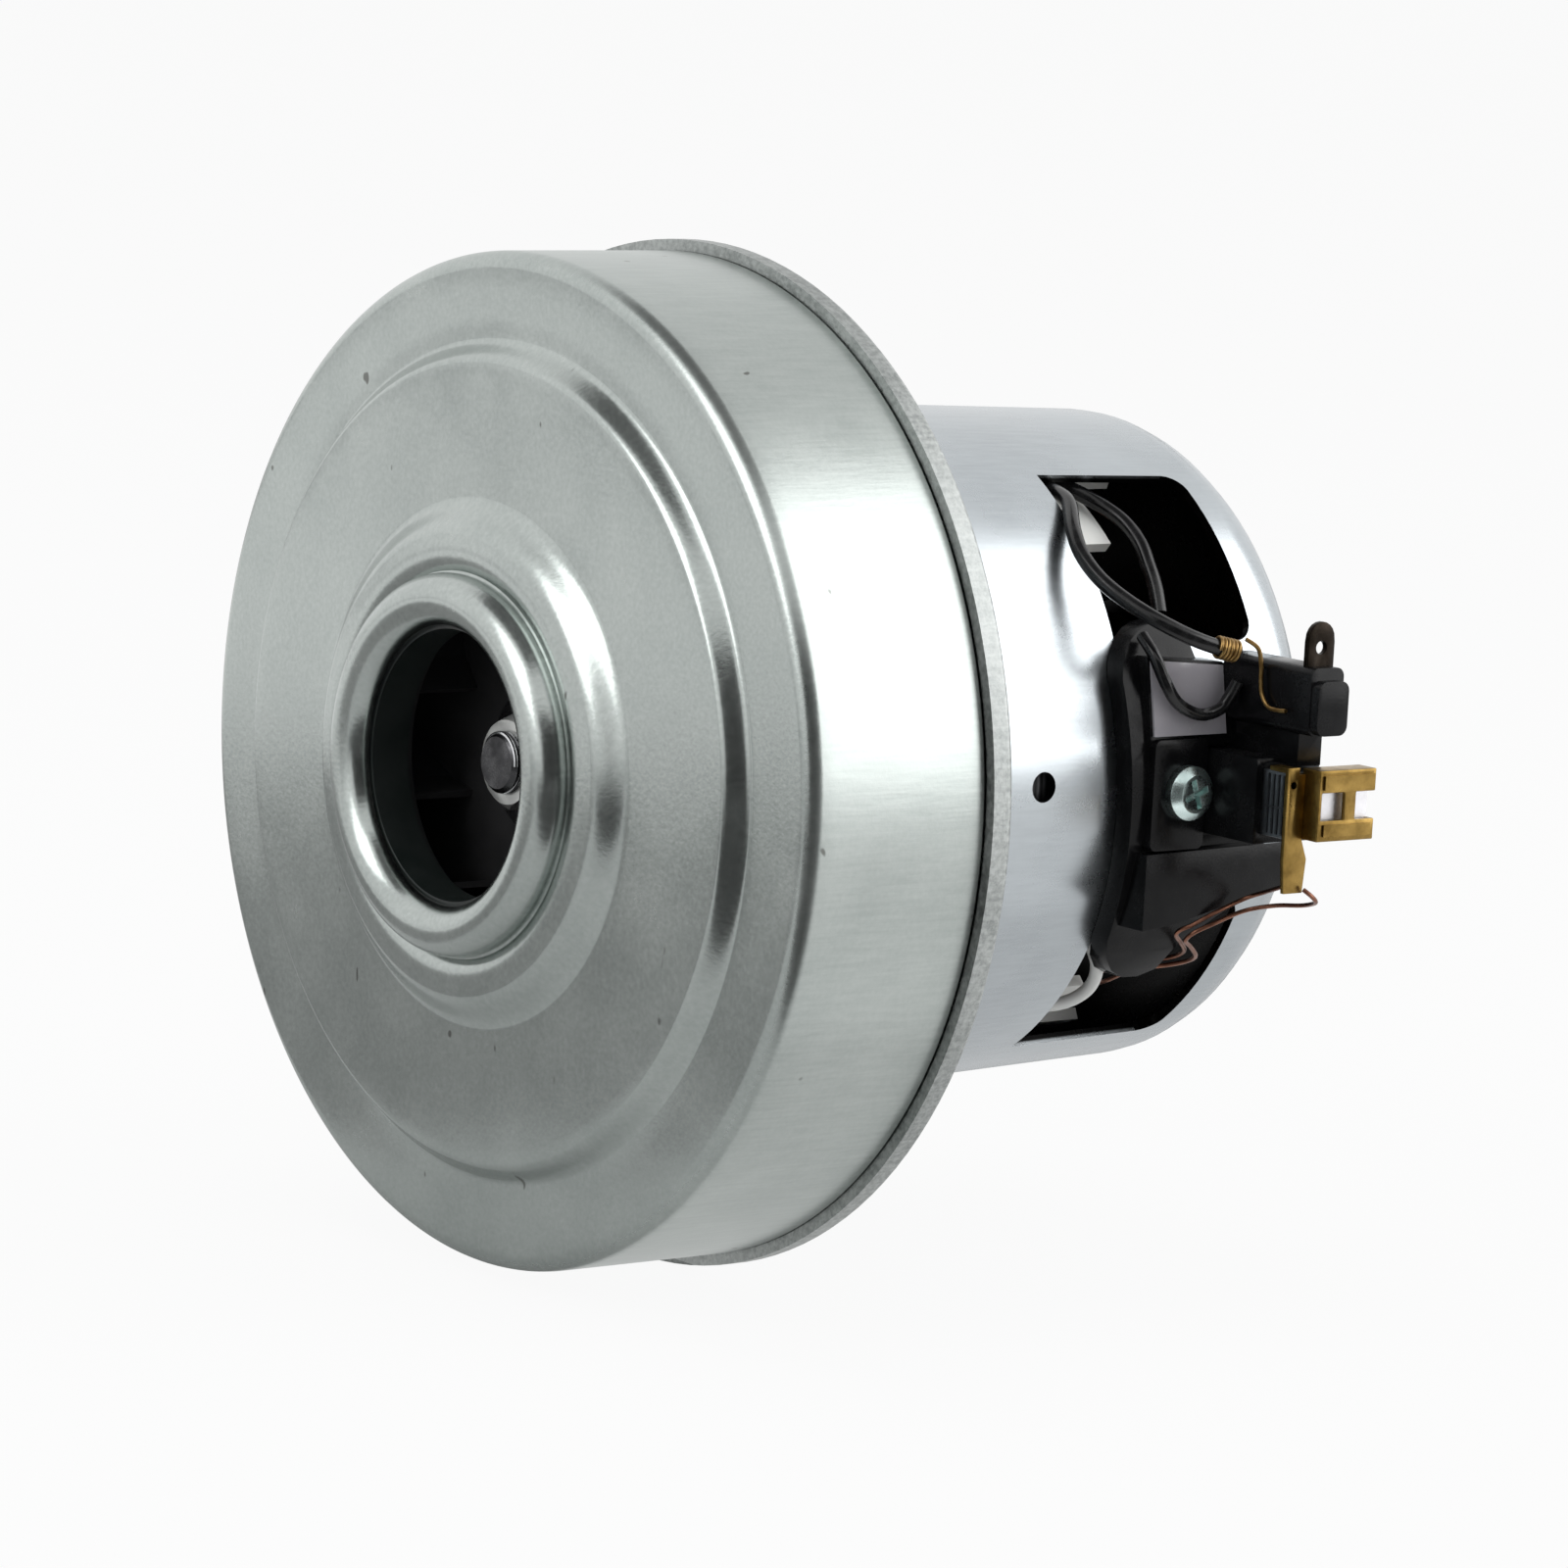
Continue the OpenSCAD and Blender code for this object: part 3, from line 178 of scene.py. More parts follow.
def smoothly_turned(name, node, material, body="housing"):
    """A copy of a turned CAD node, shaded as the exact round form, which stands for that node.

    A face that follows the turned form keeps its slope along the shaft, but each of its corners looks
    straight out from the shaft. Neighbours along the shaft blend where they meet at under 25 degrees.
    """
    mesh = nodes[node].data.copy()
    for old in [a.name for a in mesh.attributes if a.name in ("custom_normal", "sharp_edge")]:
        mesh.attributes.remove(mesh.attributes[old])
    bm = bmesh.new()
    bm.from_mesh(mesh)
    bmesh.ops.remove_doubles(bm, verts=bm.verts, dist=2e-6)
    bm.to_mesh(mesh)
    bm.free()
    piece = dressed(name, mesh, material, body)
    corners = np.array([v.co for v in mesh.vertices])

    def outward(points):
        flat = points * (1, 0, 1)
        return flat / np.maximum(np.linalg.norm(flat, axis=-1, keepdims=True), 1e-9)

    slopes, met = [], {}
    for face in mesh.polygons:
        out = outward(corners[list(face.vertices)].mean(0))
        normal = np.array(face.normal)
        sideways = abs(normal @ (-out[2], 0, out[0]))
        slope = (float(normal @ out), float(normal[1])) if sideways < 0.15 else None
        slopes.append(slope)
        for v in face.vertices if slope else ():
            met.setdefault(v, set()).add((round(slope[0], 2), round(slope[1], 2)))
    looks = []
    for face, slope in zip(mesh.polygons, slopes):
        for v in face.vertices:
            if slope is None:
                looks.append(tuple(face.normal))
                continue
            near = [s for s in met[v] if s[0] * slope[0] + s[1] * slope[1] > 0.906]
            across, along = np.mean(near or [slope], axis=0)
            looks.append(tuple(unit(outward(corners[v]) * across + np.array((0, along, 0)))))
    mesh.normals_split_custom_set(looks)
    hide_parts(node)


# Geometry Nodes


class Tree:
    """Short calls for building one Geometry Nodes tree with named inputs."""

    def __init__(self, name, **sizes):
        self.group = bpy.data.node_groups.new(name, "GeometryNodeTree")
        self.group.interface.new_socket("Geometry", in_out="INPUT", socket_type="NodeSocketGeometry")
        for key, value in sizes.items():
            kind = "NodeSocketInt" if isinstance(value, int) else "NodeSocketFloat"
            self.group.interface.new_socket(key, in_out="INPUT", socket_type=kind).default_value = value
        self.group.interface.new_socket("Geometry", in_out="OUTPUT", socket_type="NodeSocketGeometry")
        self.inputs = self.group.nodes.new("NodeGroupInput").outputs
        self.output = self.group.nodes.new("NodeGroupOutput")

    def add(self, kind, inputs=(), **settings):
        return new_node(self.group, kind, inputs, **settings)

    def finish(self, geometry, material):
        real = self.add("GeometryNodeRealizeInstances", {"Geometry": geometry})
        shaded = self.add("GeometryNodeSetMaterial", {"Geometry": real.outputs[0], "Material": material})
        self.group.links.new(shaded.outputs[0], self.output.inputs[0])


def grown(name, tree, material, body, slot, line=((0, 0, 0),), **sizes):
    """The piece that a tree makes from a line of points in millimetres."""
    mesh = bpy.data.meshes.new(name + "_line")
    mesh.from_pydata([tuple(c * MM for c in p) for p in line], [(i, i + 1) for i in range(len(line) - 1)], [])
    raw = bpy.data.objects.new(name + "_raw", mesh)
    scene.collection.objects.link(raw)
    modifier = raw.modifiers.new("tree", "NODES")
    modifier.node_group = tree.group
    for item in tree.group.interface.items_tree:
        if item.in_out == "INPUT" and item.name in sizes:
            modifier[item.identifier] = sizes[item.name]
    done = evaluated(raw)
    bpy.data.objects.remove(raw)
    return dressed(name, done, material, body)


def wire_tree(material):
    """Sweeps a round section along a smooth curve through the points of a line."""
    t = Tree("wire " + material.name, radius=1 * MM, spacing=0.5 * MM, sides=16)
    curve = t.add("GeometryNodeMeshToCurve", {"Mesh": t.inputs["Geometry"]})
    kind = t.add("GeometryNodeCurveSplineType", {"Curve": curve.outputs[0]}, spline_type="CATMULL_ROM")
    fine = t.add("GeometryNodeSetSplineResolution", {"Geometry": kind.outputs[0], "Resolution": 16})
    even = t.add(
        "GeometryNodeResampleCurve", {"Curve": fine.outputs[0], "Length": t.inputs["spacing"]}, mode="LENGTH"
    )
    ring = t.add(
        "GeometryNodeCurvePrimitiveCircle", {"Resolution": t.inputs["sides"], "Radius": t.inputs["radius"]}
    )
    tube = t.add(
        "GeometryNodeCurveToMesh",
        {"Curve": even.outputs[0], "Profile Curve": ring.outputs[0], "Fill Caps": True},
    )
    t.finish(tube.outputs[0], material)
    return t


def coil_tree(name, material, sides):
    """Sweeps a round section of few or many sides along a helix that rises on +Z."""
    t = Tree(name, turns=5.0, pitch=1 * MM, radius=3 * MM, section=0.4 * MM, steps=24)
    height = t.add("ShaderNodeMath", {0: t.inputs["turns"], 1: t.inputs["pitch"]}, operation="MULTIPLY")
    helix = t.add(
        "GeometryNodeCurveSpiral",
        {
            "Resolution": t.inputs["steps"],
            "Rotations": t.inputs["turns"],
            "Start Radius": t.inputs["radius"],
            "End Radius": t.inputs["radius"],
            "Height": height.outputs[0],
        },
    )
    level = t.add("GeometryNodeSetCurveNormal", {"Curve": helix.outputs[0]}, mode="Z_UP")
    ring = t.add("GeometryNodeCurvePrimitiveCircle", {"Resolution": sides, "Radius": t.inputs["section"]})
    tube = t.add(
        "GeometryNodeCurveToMesh",
        {"Curve": level.outputs[0], "Profile Curve": ring.outputs[0], "Fill Caps": True},
    )
    t.finish(tube.outputs[0], material)
    return t


# Materials


class Finish:
    """Short calls for building one procedural material."""

    def __init__(self, name, **sockets):
        self.material = bpy.data.materials.new(name)
        self.material.use_nodes = True
        self.tree = self.material.node_tree
        self.shader = self.tree.nodes["Principled BSDF"]
        for key, value in sockets.items():
            self.shader.inputs[key.replace("_", " ")].default_value = value
        self.place = self.add("ShaderNodeTexCoord").outputs["Object"]

    def add(self, kind, inputs=(), **settings):
        return new_node(self.tree, kind, inputs, **settings)

    def stretched(self, scale, turn=(0, 0, 0), centre=(0, 0, 0)):
        return self.add(
            "ShaderNodeMapping", {"Vector": self.place, "Scale": scale, "Rotation": turn, "Location": centre}
        ).outputs[0]

    def noise(self, size, detail=3.0, rough=0.55, vector=None):
        """Noise with spots of about this size in millimetres."""
        return self.add(
            "ShaderNodeTexNoise",
            {"Vector": vector or self.place, "Scale": 1 / (size * MM), "Detail": detail, "Roughness": rough},
        ).outputs[0]

    def remap(self, value, low, high, start=0.0, end=1.0, smooth=False):
        return self.add(
            "ShaderNodeMapRange",
            {0: value, 1: low, 2: high, 3: start, 4: end},
            interpolation_type="SMOOTHSTEP" if smooth else "LINEAR",
        ).outputs[0]

    def math(self, operation, a, b=0.0):
        return self.add("ShaderNodeMath", {0: a, 1: b}, operation=operation).outputs[0]

    def blend(self, share, a, b):
        """Colour a where the share is 0 and b where it is 1."""
        made = self.add("ShaderNodeMix", {0: share}, data_type="RGBA")
        for place, value in ((6, a), (7, b)):
            if isinstance(value, bpy.types.NodeSocket):
                self.tree.links.new(value, made.inputs[place])
            else:
                made.inputs[place].default_value = (*value, 1) if len(value) == 3 else value
        return made.outputs[2]

    def colour(self, value):
        self.tree.links.new(value, self.shader.inputs["Base Color"])

    def rough(self, value):
        self.tree.links.new(value, self.shader.inputs["Roughness"])

    def far_out(self):
        """The distance from the shaft's middle."""
        across = self.stretched((1, 0, 1))
        return self.add("ShaderNodeVectorMath", {0: across}, operation="LENGTH").outputs["Value"]

    def painted_inner_shade(self):
        """Painted shade mask: 1 within the yoke's tapered wall and on faces that look forward, 0 on its
        outside.
        """
        along = self.add("ShaderNodeSeparateXYZ", {0: self.place}).outputs["Y"]
        wall = self.remap(along, 17.3 * MM, 81.9 * MM, 46.5 * MM, 44.4 * MM)
        below = self.remap(self.math("SUBTRACT", self.far_out(), wall), -0.3 * MM, -0.6 * MM)
        below = self.math("MULTIPLY", below, self.remap(along, 80.6 * MM, 80.2 * MM))
        faces = self.add("ShaderNodeNewGeometry").outputs["Normal"]
        forward = self.add("ShaderNodeSeparateXYZ", {0: faces}).outputs["Y"]
        return self.math("MAXIMUM", below, self.remap(forward, -0.08, -0.2))

    def relief(self, height, depth, strength=1.0):
        """Bump of a depth in millimetres from a height of 0 to 1."""
        made = self.add("ShaderNodeBump", {"Height": height, "Strength": strength, "Distance": depth * MM})
        self.tree.links.new(made.outputs[0], self.shader.inputs["Normal"])


def sheet_metal(name, dark, light, roughness, mottle=1.0, wave=0.0, specks=0.0, inner_shade_tone=0.0):
    """Zinc sheet: cloudy tone, fine mottling, drawing marks along the shaft, a few dark specks, and optional
    painted shade on the yoke's inner faces.
    """
    f = Finish(name, Metallic=1.0, Roughness=roughness)
    cloud = f.remap(f.noise(16, 4), 0.3, 0.7)
    fleck = f.remap(f.noise(0.75, 2, 0.7), 0.35, 0.65)
    drawn = f.remap(f.noise(0.6, 3, vector=f.stretched((1, 0.08, 1))), 0.3, 0.7)
    share = f.math("ADD", f.math("MULTIPLY", cloud, 0.4), f.math("MULTIPLY", fleck, 0.32 * mottle))
    share = f.math("ADD", share, f.math("MULTIPLY", drawn, 0.28))
    tone = f.blend(share, dark, light)
    if specks:
        mark = f.remap(f.noise(2.4, 1, vector=f.stretched((1, 0.6, 0.5))), 0.775, 0.8)
        tone = f.blend(f.math("MULTIPLY", mark, specks), tone, (0.12, 0.12, 0.11))
    # Painted shade: the yoke's inner faces and its faces that look forward are darkened to a near-black tone.
    if inner_shade_tone:
        tone = f.blend(f.painted_inner_shade(), tone, (inner_shade_tone, inner_shade_tone, inner_shade_tone))
    f.colour(tone)
    patchy = f.math("ADD", f.math("MULTIPLY", fleck, mottle), cloud)
    least, most = roughness - 0.03 - 0.03 * mottle, roughness + 0.03 + 0.04 * mottle
    patchy = f.remap(patchy, 0, 1 + mottle, least, most)
    f.rough(f.math("ADD", patchy, f.remap(f.far_out(), 64.5 * MM, 65.8 * MM, 0, 0.1)))
    height = f.math("ADD", f.math("MULTIPLY", fleck, 0.5 * mottle), f.math("MULTIPLY", drawn, 0.5))
    if wave:
        height = f.math("ADD", f.math("MULTIPLY", height, 0.001), f.math("MULTIPLY", f.noise(14, 1), wave))
        f.relief(height, 0.25)
    else:
        f.relief(height, 0.01)
    return f.material


def moulded(name, tone, roughness, coat=0.0, grain=0.012, dust=0.06, specular=0.5):
    """Moulded plastic: near-even tone, fine skin, faint dust and handling marks."""
    f = Finish(name, Roughness=roughness, Coat_Weight=coat, Coat_Roughness=0.12, Specular_IOR_Level=specular)
    cloud = f.remap(f.noise(5, 4), 0.35, 0.7)
    skin = f.noise(0.35, 3)
    f.colour(f.blend(f.math("MULTIPLY", cloud, dust), tone, tuple(min(1, c + 0.12) for c in tone)))
    f.rough(f.remap(f.math("ADD", cloud, skin), 0.3, 1.6, max(0.05, roughness - 0.07), roughness + 0.12))
    f.relief(skin, grain)
    return f.material


def bare_metal(name, dark, light, roughness, size=1.2, depth=0.01, grain=(1, 1, 1)):
    """Bare stamped, ground or drawn metal with tarnish and fine marks."""
    f = Finish(name, Metallic=1.0, Roughness=roughness)
    tarnish = f.remap(f.noise(size * 2.5, 4), 0.3, 0.72)
    mark = f.noise(size * 0.3, 3, vector=f.stretched(grain))
    share = f.math("ADD", f.math("MULTIPLY", tarnish, 0.75), f.math("MULTIPLY", mark, 0.25))
    f.colour(f.blend(share, dark, light))
    f.rough(f.remap(f.math("ADD", tarnish, mark), 0.2, 1.8, roughness + 0.12, max(0.06, roughness - 0.08)))
    f.relief(mark, depth)
    return f.material


def stack_of_sheets(name, dark, light):
    """Varnished laminations: thin lines across the shaft's direction."""
    f = Finish(name, Metallic=0.85, Roughness=0.42)
    lines = f.add(
        "ShaderNodeTexWave",
        {"Vector": f.place, "Scale": 1 / (3.2 * MM), "Distortion": 0.3},
        bands_direction="Y",
    ).outputs["Fac"]
    f.colour(f.blend(f.math("MULTIPLY", lines, f.remap(f.noise(4, 3), 0.2, 0.8, 0.5, 1.0)), dark, light))
    f.relief(lines, 0.05)
    return f.material


def wound(name, dark, light, direction="X"):
    """Enamelled turns of wire on a coil's solid."""
    f = Finish(name, Metallic=0.55, Roughness=0.3, Coat_Weight=0.5, Coat_Roughness=0.15)
    lines = f.add(
        "ShaderNodeTexWave", {"Vector": f.place, "Scale": 1 / (4.2 * MM), "Distortion": 1.0, "Detail": 1.0},
        bands_direction=direction,
    ).outputs["Fac"]
    f.colour(f.blend(f.math("MULTIPLY", lines, f.remap(f.noise(5, 3), 0.25, 0.8, 0.6, 1.0)), dark, light))
    f.relief(lines, 0.18)
    return f.material


def covered_lead(name, tone, roughness, coat=0.3, specular=0.5):
    """Flexible insulation: satin skin with small scuffs."""
    f = Finish(name, Roughness=roughness, Coat_Weight=coat, Coat_Roughness=0.12, Specular_IOR_Level=specular)
    scuff = f.remap(f.noise(2, 4), 0.45, 0.75)
    f.colour(f.blend(f.math("MULTIPLY", scuff, 0.2), tone, tuple(min(1, c + 0.05) for c in tone)))
    f.rough(f.remap(scuff, 0, 1, roughness - 0.05, roughness + 0.15))
    f.relief(f.noise(0.5, 2), 0.01)
    return f.material


zinc = sheet_metal("zinc_casing", (0.37, 0.405, 0.39), (0.54, 0.575, 0.555), 0.23, mottle=0.5, specks=0.8)
zinc_rim = sheet_metal("zinc_bracket", (0.22, 0.235, 0.23), (0.5, 0.52, 0.51), 0.4, mottle=1.8)
# The yoke gets painted shade, near black, on its inner faces and forward-looking faces.
zinc_yoke = sheet_metal(
    "zinc_yoke", (0.42, 0.45, 0.47), (0.56, 0.6, 0.625), 0.27, mottle=0.15, wave=0.16, inner_shade_tone=0.012
)
gloss_black = moulded("black_moulding", (0.003, 0.003, 0.0035), 0.22, dust=0.035, specular=0.16)
matt_black = moulded("black_wheel", (0.02, 0.02, 0.021), 0.42)
seal_black = moulded("seal_moulding", (0.01, 0.014, 0.013), 0.36, dust=0.04)
nylon = moulded("white_nylon", (0.8, 0.8, 0.77), 0.35, dust=0.0)
resin = moulded("hub_resin", (0.11, 0.035, 0.015), 0.35)
board = moulded("insulation_board", (0.35, 0.05, 0.03), 0.5)
carbon = moulded("pressed_carbon", (0.035, 0.035, 0.038), 0.5, grain=0.03)
screw_zinc = bare_metal("screw_zinc", (0.55, 0.7, 0.68), (0.82, 0.95, 0.93), 0.26, 0.8)
nut_zinc = bare_metal("nut_zinc", (0.5, 0.51, 0.5), (0.72, 0.73, 0.71), 0.42, 1.5)
dark_steel = bare_metal("dark_steel", (0.03, 0.03, 0.032), (0.13, 0.13, 0.135), 0.26, 1.0)
ground_steel = bare_metal("ground_steel", (0.5, 0.51, 0.52), (0.74, 0.75, 0.77), 0.18, 1.4)
tube_tin = bare_metal("tube_sheet", (0.09, 0.095, 0.1), (0.2, 0.215, 0.23), 0.3, 1.2)
brass = bare_metal("brass_sheet", (0.11, 0.065, 0.015), (0.46, 0.3, 0.09), 0.3, 1.6)
bare_copper = bare_metal("bare_copper", (0.1, 0.04, 0.024), (0.32, 0.15, 0.1), 0.3, 1.0)
track_copper = bare_metal(
    "track_copper", (0.36, 0.15, 0.08), (0.8, 0.42, 0.27), 0.28, 1.5, grain=(0.2, 3, 0.2)
)
spring_wire = bare_metal("spring_wire", (0.3, 0.3, 0.32), (0.6, 0.6, 0.63), 0.25, 1.0)
tie_metal = bare_metal("tie_metal", (0.16, 0.085, 0.025), (0.55, 0.36, 0.14), 0.35, 0.8)
tab_tin = bare_metal("tab_tin", (0.009, 0.007, 0.005), (0.03, 0.023, 0.018), 0.35, 1.0)
liner_tin = bare_metal("liner_tin", (0.62, 0.62, 0.63), (0.8, 0.79, 0.82), 0.4, 1.0)
# Painted reflection: the grey base tone stands for the lamp reflected in the black holder's flat face; its
# coat adds real reflection on top.
plate_painted_reflection = moulded("painted_reflection_sheet", (0.3, 0.285, 0.31), 0.16, coat=0.9, dust=0.3)
laminations = stack_of_sheets("laminations", (0.014, 0.014, 0.015), (0.09, 0.09, 0.095))
field_wire = wound("field_winding", (0.045, 0.015, 0.008), (0.3, 0.11, 0.05), "Y")
rotor_wire = wound("rotor_winding", (0.07, 0.02, 0.01), (0.42, 0.16, 0.07), "DIAGONAL")
lead_black = covered_lead("lead_black", (0.005, 0.005, 0.0055), 0.24, coat=0.2, specular=0.3)
sleeve_white = covered_lead("sleeve_white", (0.82, 0.82, 0.8), 0.5, coat=0.0)

NODE_MATERIALS = {
    "fan_cover": zinc, "front_bracket": zinc_rim, "intake_seal": seal_black, "diffuser": matt_black,
    "diffuser_screws": dark_steel, "yoke": zinc_yoke, "yoke_screws": screw_zinc, "stator_core": laminations,
    "field_coil": field_wire, "coil_former": nylon, "front_bearing": ground_steel,
    "rear_bearing": ground_steel, "shaft": dark_steel, "spacer_sleeve": dark_steel,
    "wheel_back_disc": matt_black, "wheel_blades": matt_black, "wheel_front_disc": matt_black,
    "wheel_washer": dark_steel, "wheel_nut": nut_zinc,
    "armature_core": laminations, "armature_winding": rotor_wire, "armature_end_plates": board,
    "commutator_hub": resin, "commutator_segments": track_copper, "brush_holder": gloss_black,
    "brush_tube": tube_tin, "carbon_brush": carbon, "brush_spring": spring_wire, "brush_clip": brass,
    "brush_strip": brass, "holder_screws": screw_zinc, "lead_tab": tab_tin, "field_lead": lead_black,
    "inner_lead": lead_black, "loop_lead": lead_black, "white_sleeve": sleeve_white,
    "copper_wires": bare_copper, "lead_ties": tie_metal,
}
for node, cad_object in nodes.items():
    key = max((k for k in NODE_MATERIALS if node.startswith(k)), key=len)
    chosen = brass if node.endswith("bearing_cage") else NODE_MATERIALS[key]
    cad_object.data.materials.clear()
    cad_object.data.materials.append(chosen)


# Fan casing

SHEET = 0.8
casing_face = [(64.8, 15.78), (64.8, 14.25), (65.1, 14.0), (65.75, 13.85), (66, 13.55)]
casing_face += [(66, y) for y in (9, 4, -1, -6, -9.5)]
casing_face += bend((63.7, -11.7), 2.3, 0, -90, 10)
casing_face += [(61, -14), (57.5, -14)]
casing_face += ease((54.8, -14.0), (51.7, -16.8), 14)
casing_face += [(50, -16.88), (44, -17.1), (38, -17.34)]
casing_face += ease((34.6, -17.48), (29.4, -20.6), 18)
casing_face += [(28.4, -20.86), (27.2, -20.95), (26.2, -20.86), (25.5, -20.6), (25.05, -20.3)]
casing_face += bend((21.4, -21.1), 3.4, 12, -176, 28)
casing_back = [tuple(p) for p in offset_line(casing_face, -SHEET)[::-1]]
casing = turned("fan_casing", casing_face + casing_back, zinc, "housing", 360)
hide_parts("fan_cover")


# Leads, sleeves and winding ends

field_route = [
    (21, 57.5, 36.5), (24.5, 57, 36.5), (29, 55.6, 35.6), (34.2, 52.3, 32.8), (38.2, 50.7, 30),
    (42, 50.9, 27.2), (45.8, 52.4, 24.8), (49.6, 54.6, 22.7), (52.2, 58, 20.8), (53.5, 61.4, 19.6),
    (54.2, 64.6, 18.9),
]
inner_route = [
    (17.5, 59.5, 37.9), (20.3, 62.5, 36.5), (23, 65.4, 34.8), (26.5, 67.2, 32.7), (30, 67.4, 30.2),
    (32.6, 67, 27.4), (34.8, 66.6, 24.6), (36.6, 66, 21.6),
]
loop_route = [
    (45.1, 55.9, 20.1), (48, 55.7, 17.8), (49.4, 56.7, 14.4), (49.7, 58.8, 11.7), (50, 62.4, 10.2),
    (50.4, 65.4, 10.9), (50.8, 66.6, 12.6), (51.4, 67.3, 14.6),
]
white_route = [
    (34.4, 55.2, -19.4), (36.2, 57.2, -21.4), (35.6, 59.6, -24.8), (33.6, 60.9, -27.8), (31.4, 60.6, -30),
    (29.2, 58.8, -31.4), (27, 55.4, -31.8),
]
copper_routes = [
    [
        (27.7, 65.7, -28.3), (30.5, 64.6, -27.3), (33.5, 64.4, -26), (36.2, 65.6, -25), (38.8, 67.4, -24.3),
        (41.3, 68.3, -23.5), (43.8, 67.6, -22.3), (46, 65, -20.7), (47.7, 62.6, -19.3), (48.8, 62.3, -18.4),
        (49.6, 63.6, -17.7), (50.5, 66.6, -16.1), (51.4, 71, -14.3), (54.5, 71.6, -13), (58.5, 69.9, -11.8),
        (61.6, 68.4, -10.9), (63.25, 67, -10.3),
    ],
    [
        (28.4, 66.4, -29.2), (31.2, 65.8, -28.2), (34.2, 65.8, -26.8), (37, 67, -25.7), (39.6, 68.6, -25),
        (42.3, 69.4, -24.1), (45, 68.6, -22.9), (47, 65.9, -21.2), (48.6, 63.5, -19.9), (49.9, 63.7, -18.7),
        (50.7, 66, -17.6), (51.7, 70.6, -15.9), (55, 73, -14.8), (59.4, 73.6, -14.1), (62.6, 72.8, -13.3),
        (64.6, 71.4, -12.6), (65.2, 70, -11.7), (64.7, 69, -10.9),
    ],
]


black_wire = wire_tree(lead_black)
white_wire = wire_tree(sleeve_white)
copper_wire = wire_tree(bare_copper)
for side in "ab":
    for kind, route, tree, tone, slot, radius in (
        ("field_lead", field_route, black_wire, lead_black, "lead_black", 1.05),
        ("inner_lead", inner_route, black_wire, lead_black, "lead_black", 1.05),
        ("loop_lead", loop_route, black_wire, lead_black, "lead_black", 0.84),
        ("white_sleeve", white_route, white_wire, sleeve_white, "sleeve_white", 0.9),
    ):
        line = on_side(route, side)
        lead = grown(f"{kind}_{side}_round", tree, tone, "housing", slot, line, radius=radius * MM)
        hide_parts(f"{kind}_{side}")
    for n, route in enumerate(copper_routes):
        end = grown(
            f"copper_end_{n}_{side}", copper_wire, bare_copper, "housing", "copper", on_side(route, side),
            radius=0.3 * MM, sides=10,
        )
        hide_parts(f"copper_wires_{side}")


# Brush gear


def box_faces(start=0):
    quads = ((0, 1, 3, 2), (4, 6, 7, 5), (0, 4, 5, 1), (2, 3, 7, 6), (0, 2, 6, 4), (1, 5, 7, 3))
    return [tuple(start + i for i in q) for q in quads]


def blocks(name, boxes, bevel, material, side):
    """Boxes given by two corners each, with broken edges, as one piece of a brush holder's side."""
    points, faces = [], []
    for low, high in boxes:
        faces += box_faces(len(points))
        points += [(x, y, z) for x in (low[0], high[0]) for y in (low[1], high[1]) for z in (low[2], high[2])]
    mesh = bpy.data.meshes.new(name)
    mesh.from_pydata([tuple(c * MM for c in p) for p in on_side(points, side)], [], faces)
    bm = bmesh.new()
    bm.from_mesh(mesh)
    bmesh.ops.recalc_face_normals(bm, faces=bm.faces)
    bmesh.ops.bevel(bm, geom=bm.edges[:], offset=bevel * MM, segments=2, affect="EDGES", clamp_overlap=True)
    bm.to_mesh(mesh)
    bm.free()
    return dressed(name, mesh, material, "housing")


def sloped_plate(name, outline, x_low, x_high, z_low, z_high, thickness, material, side):
    """A thin plate of a y-z outline whose x changes evenly with its height."""
    def x_at(z):
        return x_low + (x_high - x_low) * (z - z_low) / (z_high - z_low)

    count = len(outline)
    points = [(x_at(z) + t, y, z) for t in (0, thickness) for y, z in outline]
    faces = [tuple(range(count)), tuple(range(2 * count - 1, count - 1, -1))]
    faces += [(i, (i + 1) % count, (i + 1) % count + count, i + count) for i in range(count)]
    return piece_from(name, on_side(points, side), faces, material, "housing")


def tie_turns_tree(material):
    """Winds a thin wire round the line from one end to the other."""
    t = Tree("tie turns", radius=0.3 * MM, reach=1.5 * MM, turns=5.0, length=4 * MM)
    helix = t.add(
        "GeometryNodeCurveSpiral",
        {
            "Resolution": 28,
            "Rotations": t.inputs["turns"],
            "Start Radius": t.inputs["reach"],
            "End Radius": t.inputs["reach"],
            "Height": t.inputs["length"],
        },
    )
    ring = t.add("GeometryNodeCurvePrimitiveCircle", {"Resolution": 10, "Radius": t.inputs["radius"]})
    tube = t.add(
        "GeometryNodeCurveToMesh",
        {"Curve": helix.outputs[0], "Profile Curve": ring.outputs[0], "Fill Caps": True},
    )
    line = t.add("GeometryNodeMeshToCurve", {"Mesh": t.inputs["Geometry"]})
    start = t.add("GeometryNodeSampleCurve", {"Curves": line.outputs[0], "Factor": 0.0}, mode="FACTOR")
    aim = t.add("FunctionNodeAlignRotationToVector", {"Vector": start.outputs["Tangent"]}, axis="Z")
    place = t.add(
        "GeometryNodeTransform",
        {"Geometry": tube.outputs[0], "Translation": start.outputs["Position"], "Rotation": aim.outputs[0]},
    )
    t.finish(place.outputs[0], material)
    return t


